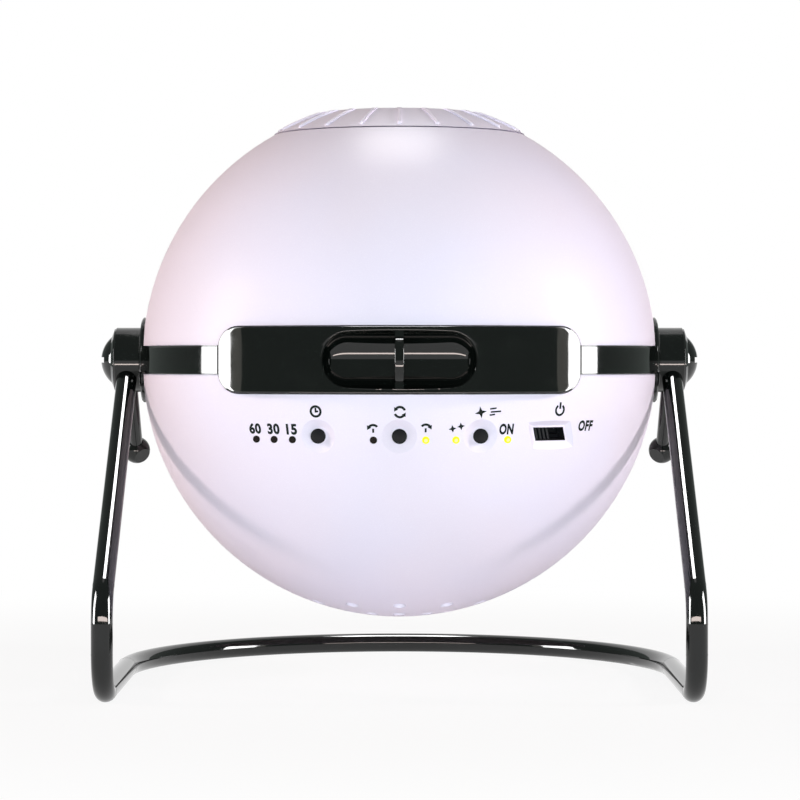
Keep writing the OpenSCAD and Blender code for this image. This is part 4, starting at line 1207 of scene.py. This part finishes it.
def build_screen():
    """A dark grey screen round the front, sides and top, which only gloss reflects."""
    material = bpy.data.materials.new("grey_screen")
    material.use_nodes = True
    tree = material.node_tree
    glow = tree.nodes.new("ShaderNodeEmission")
    glow.inputs["Color"].default_value = SCREEN_COLOUR
    glow.inputs["Strength"].default_value = studio().screen
    tree.links.new(glow.outputs[0], tree.nodes["Material Output"].inputs["Surface"])
    bm = bmesh.new()
    low, high = (math.radians(rise) for rise in SCREEN_RISE)
    rises = [low + (high - low) * step / 12 for step in range(13)]
    arc = [bm.verts.new(BALL_CENTRE + SCREEN_RADIUS * Vector((0, -math.cos(a), math.sin(a)))) for a in rises]
    edges = [bm.edges.new(pair) for pair in zip(arc, arc[1:])]
    half = math.radians(SCREEN_HALF_TURN)
    bmesh.ops.rotate(bm, verts=arc, cent=BALL_CENTRE, matrix=Matrix.Rotation(-half, 3, "Z"))
    bmesh.ops.spin(
        bm, geom=[*arc, *edges], cent=BALL_CENTRE, axis=(0, 0, 1), dvec=(0, 0, 0),
        angle=2 * half, steps=48, use_merge=False, use_duplicate=False,
    )
    screen = stage_piece("grey_screen", bm, material)
    screen.visible_camera = False
    screen.visible_diffuse = False
    screen.visible_shadow = False


def add_lamp(name, place, size, level, colour, gloss):
    """A rectangular lamp towards the ball's centre, seen by gloss alone or by matt surfaces alone."""
    place = Vector(place)
    lamp = bpy.data.lights.new(name, "AREA")
    lamp.shape = "RECTANGLE"
    lamp.size, lamp.size_y = size
    area = lamp.size * lamp.size_y
    distance = (BALL_CENTRE - place).length
    brightness = level if gloss else level * math.pi * distance**2 / area
    lamp.energy = brightness * math.pi * area
    lamp.color = colour
    holder = bpy.data.objects.new(name, lamp)
    holder.location = place
    towards = BALL_CENTRE - place
    if gloss and abs(towards.z) < towards.length / 2:
        towards.z = 0
    holder.rotation_mode = "QUATERNION"
    holder.rotation_quaternion = towards.to_track_quat("-Z", "Y")
    holder.visible_camera = False
    holder.visible_diffuse = not gloss
    holder.visible_glossy = gloss
    holder.visible_transmission = gloss
    bpy.context.scene.collection.objects.link(holder)


def build_lamps():
    """Soft lamps in front, at the sides and above, and the bright strips that gloss reflects."""
    strip = studio().strip
    for name, setting, aim, size, colour in SOFT_LAMPS:
        add_lamp(name, on_ball(*aim), size, getattr(studio(), setting), colour, gloss=False)
    for side, sign in SIDES.items():
        for name, azimuth, width, share, colour in SIDE_STRIPS:
            place = on_ball(sign * azimuth, 0, STRIP_DISTANCE)
            place.z = STRIP_MIDDLE
            add_lamp(name + side, place, (width, STRIP_TALL), strip * share, colour, gloss=True)
    aim, size, share, colour = TOP_STRIP
    add_lamp("strip_top", on_ball(*aim), size, strip * share, colour, gloss=True)
    offset, size, share, colour = LOW_STRIP
    add_lamp("strip_low", BALL_CENTRE - offset, size, strip * share, colour, gloss=True)


def build_camera():
    """Level with the ball's centre and looking a little down, as the photograph does."""
    camera = bpy.data.cameras.new("camera")
    camera.lens = studio().lens
    camera.sensor_width = 36.0
    camera.clip_start = 0.05
    camera.clip_end = 20.0
    holder = bpy.data.objects.new("camera", camera)
    holder.location = BALL_CENTRE - Vector((0, studio().camera_distance, 0))
    holder.rotation_euler = (math.radians(90 - CAMERA_PITCH), 0, -math.radians(CAMERA_YAW))
    bpy.context.scene.collection.objects.link(holder)
    bpy.context.scene.camera = holder
    bpy.context.scene.view_settings.view_transform = "Standard"


class ProjectorPanel(bpy.types.Panel):
    """Lists the operators"""

    bl_idname = "VIEW3D_PT_projector"
    bl_label = "Projector"
    bl_space_type = "VIEW_3D"
    bl_region_type = "UI"
    bl_category = "Projector"

    def draw(self, context):
        for operator in OPERATORS:
            self.layout.operator(operator.bl_idname)


OPERATORS = (
    ProjectorDress, ProjectorSmallPieces, ProjectorPanelSkin, ProjectorBandRims, ProjectorRingRibs,
    ProjectorMarks, ProjectorStage,
)
GROUPS = {
    "projector_sizes": ProjectorSizes,
    "projector_colours": ProjectorColours,
    "projector_studio": ProjectorStudio,
}


def register():
    """Adds the settings, operators and panel."""
    for name, group in GROUPS.items():
        bpy.utils.register_class(group)
        setattr(bpy.types.Scene, name, bpy.props.PointerProperty(type=group))
    for cls in (*OPERATORS, ProjectorPanel):
        bpy.utils.register_class(cls)


def unregister():
    """Takes them away again."""
    for cls in (ProjectorPanel, *reversed(OPERATORS)):
        bpy.utils.unregister_class(cls)
    for name, group in GROUPS.items():
        delattr(bpy.types.Scene, name)
        bpy.utils.unregister_class(group)


def main():
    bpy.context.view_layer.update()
    register()
    for operator in OPERATORS:
        family, action = operator.bl_idname.split(".")
        getattr(getattr(bpy.ops, family), action)()


if __name__ == "__main__":
    main()
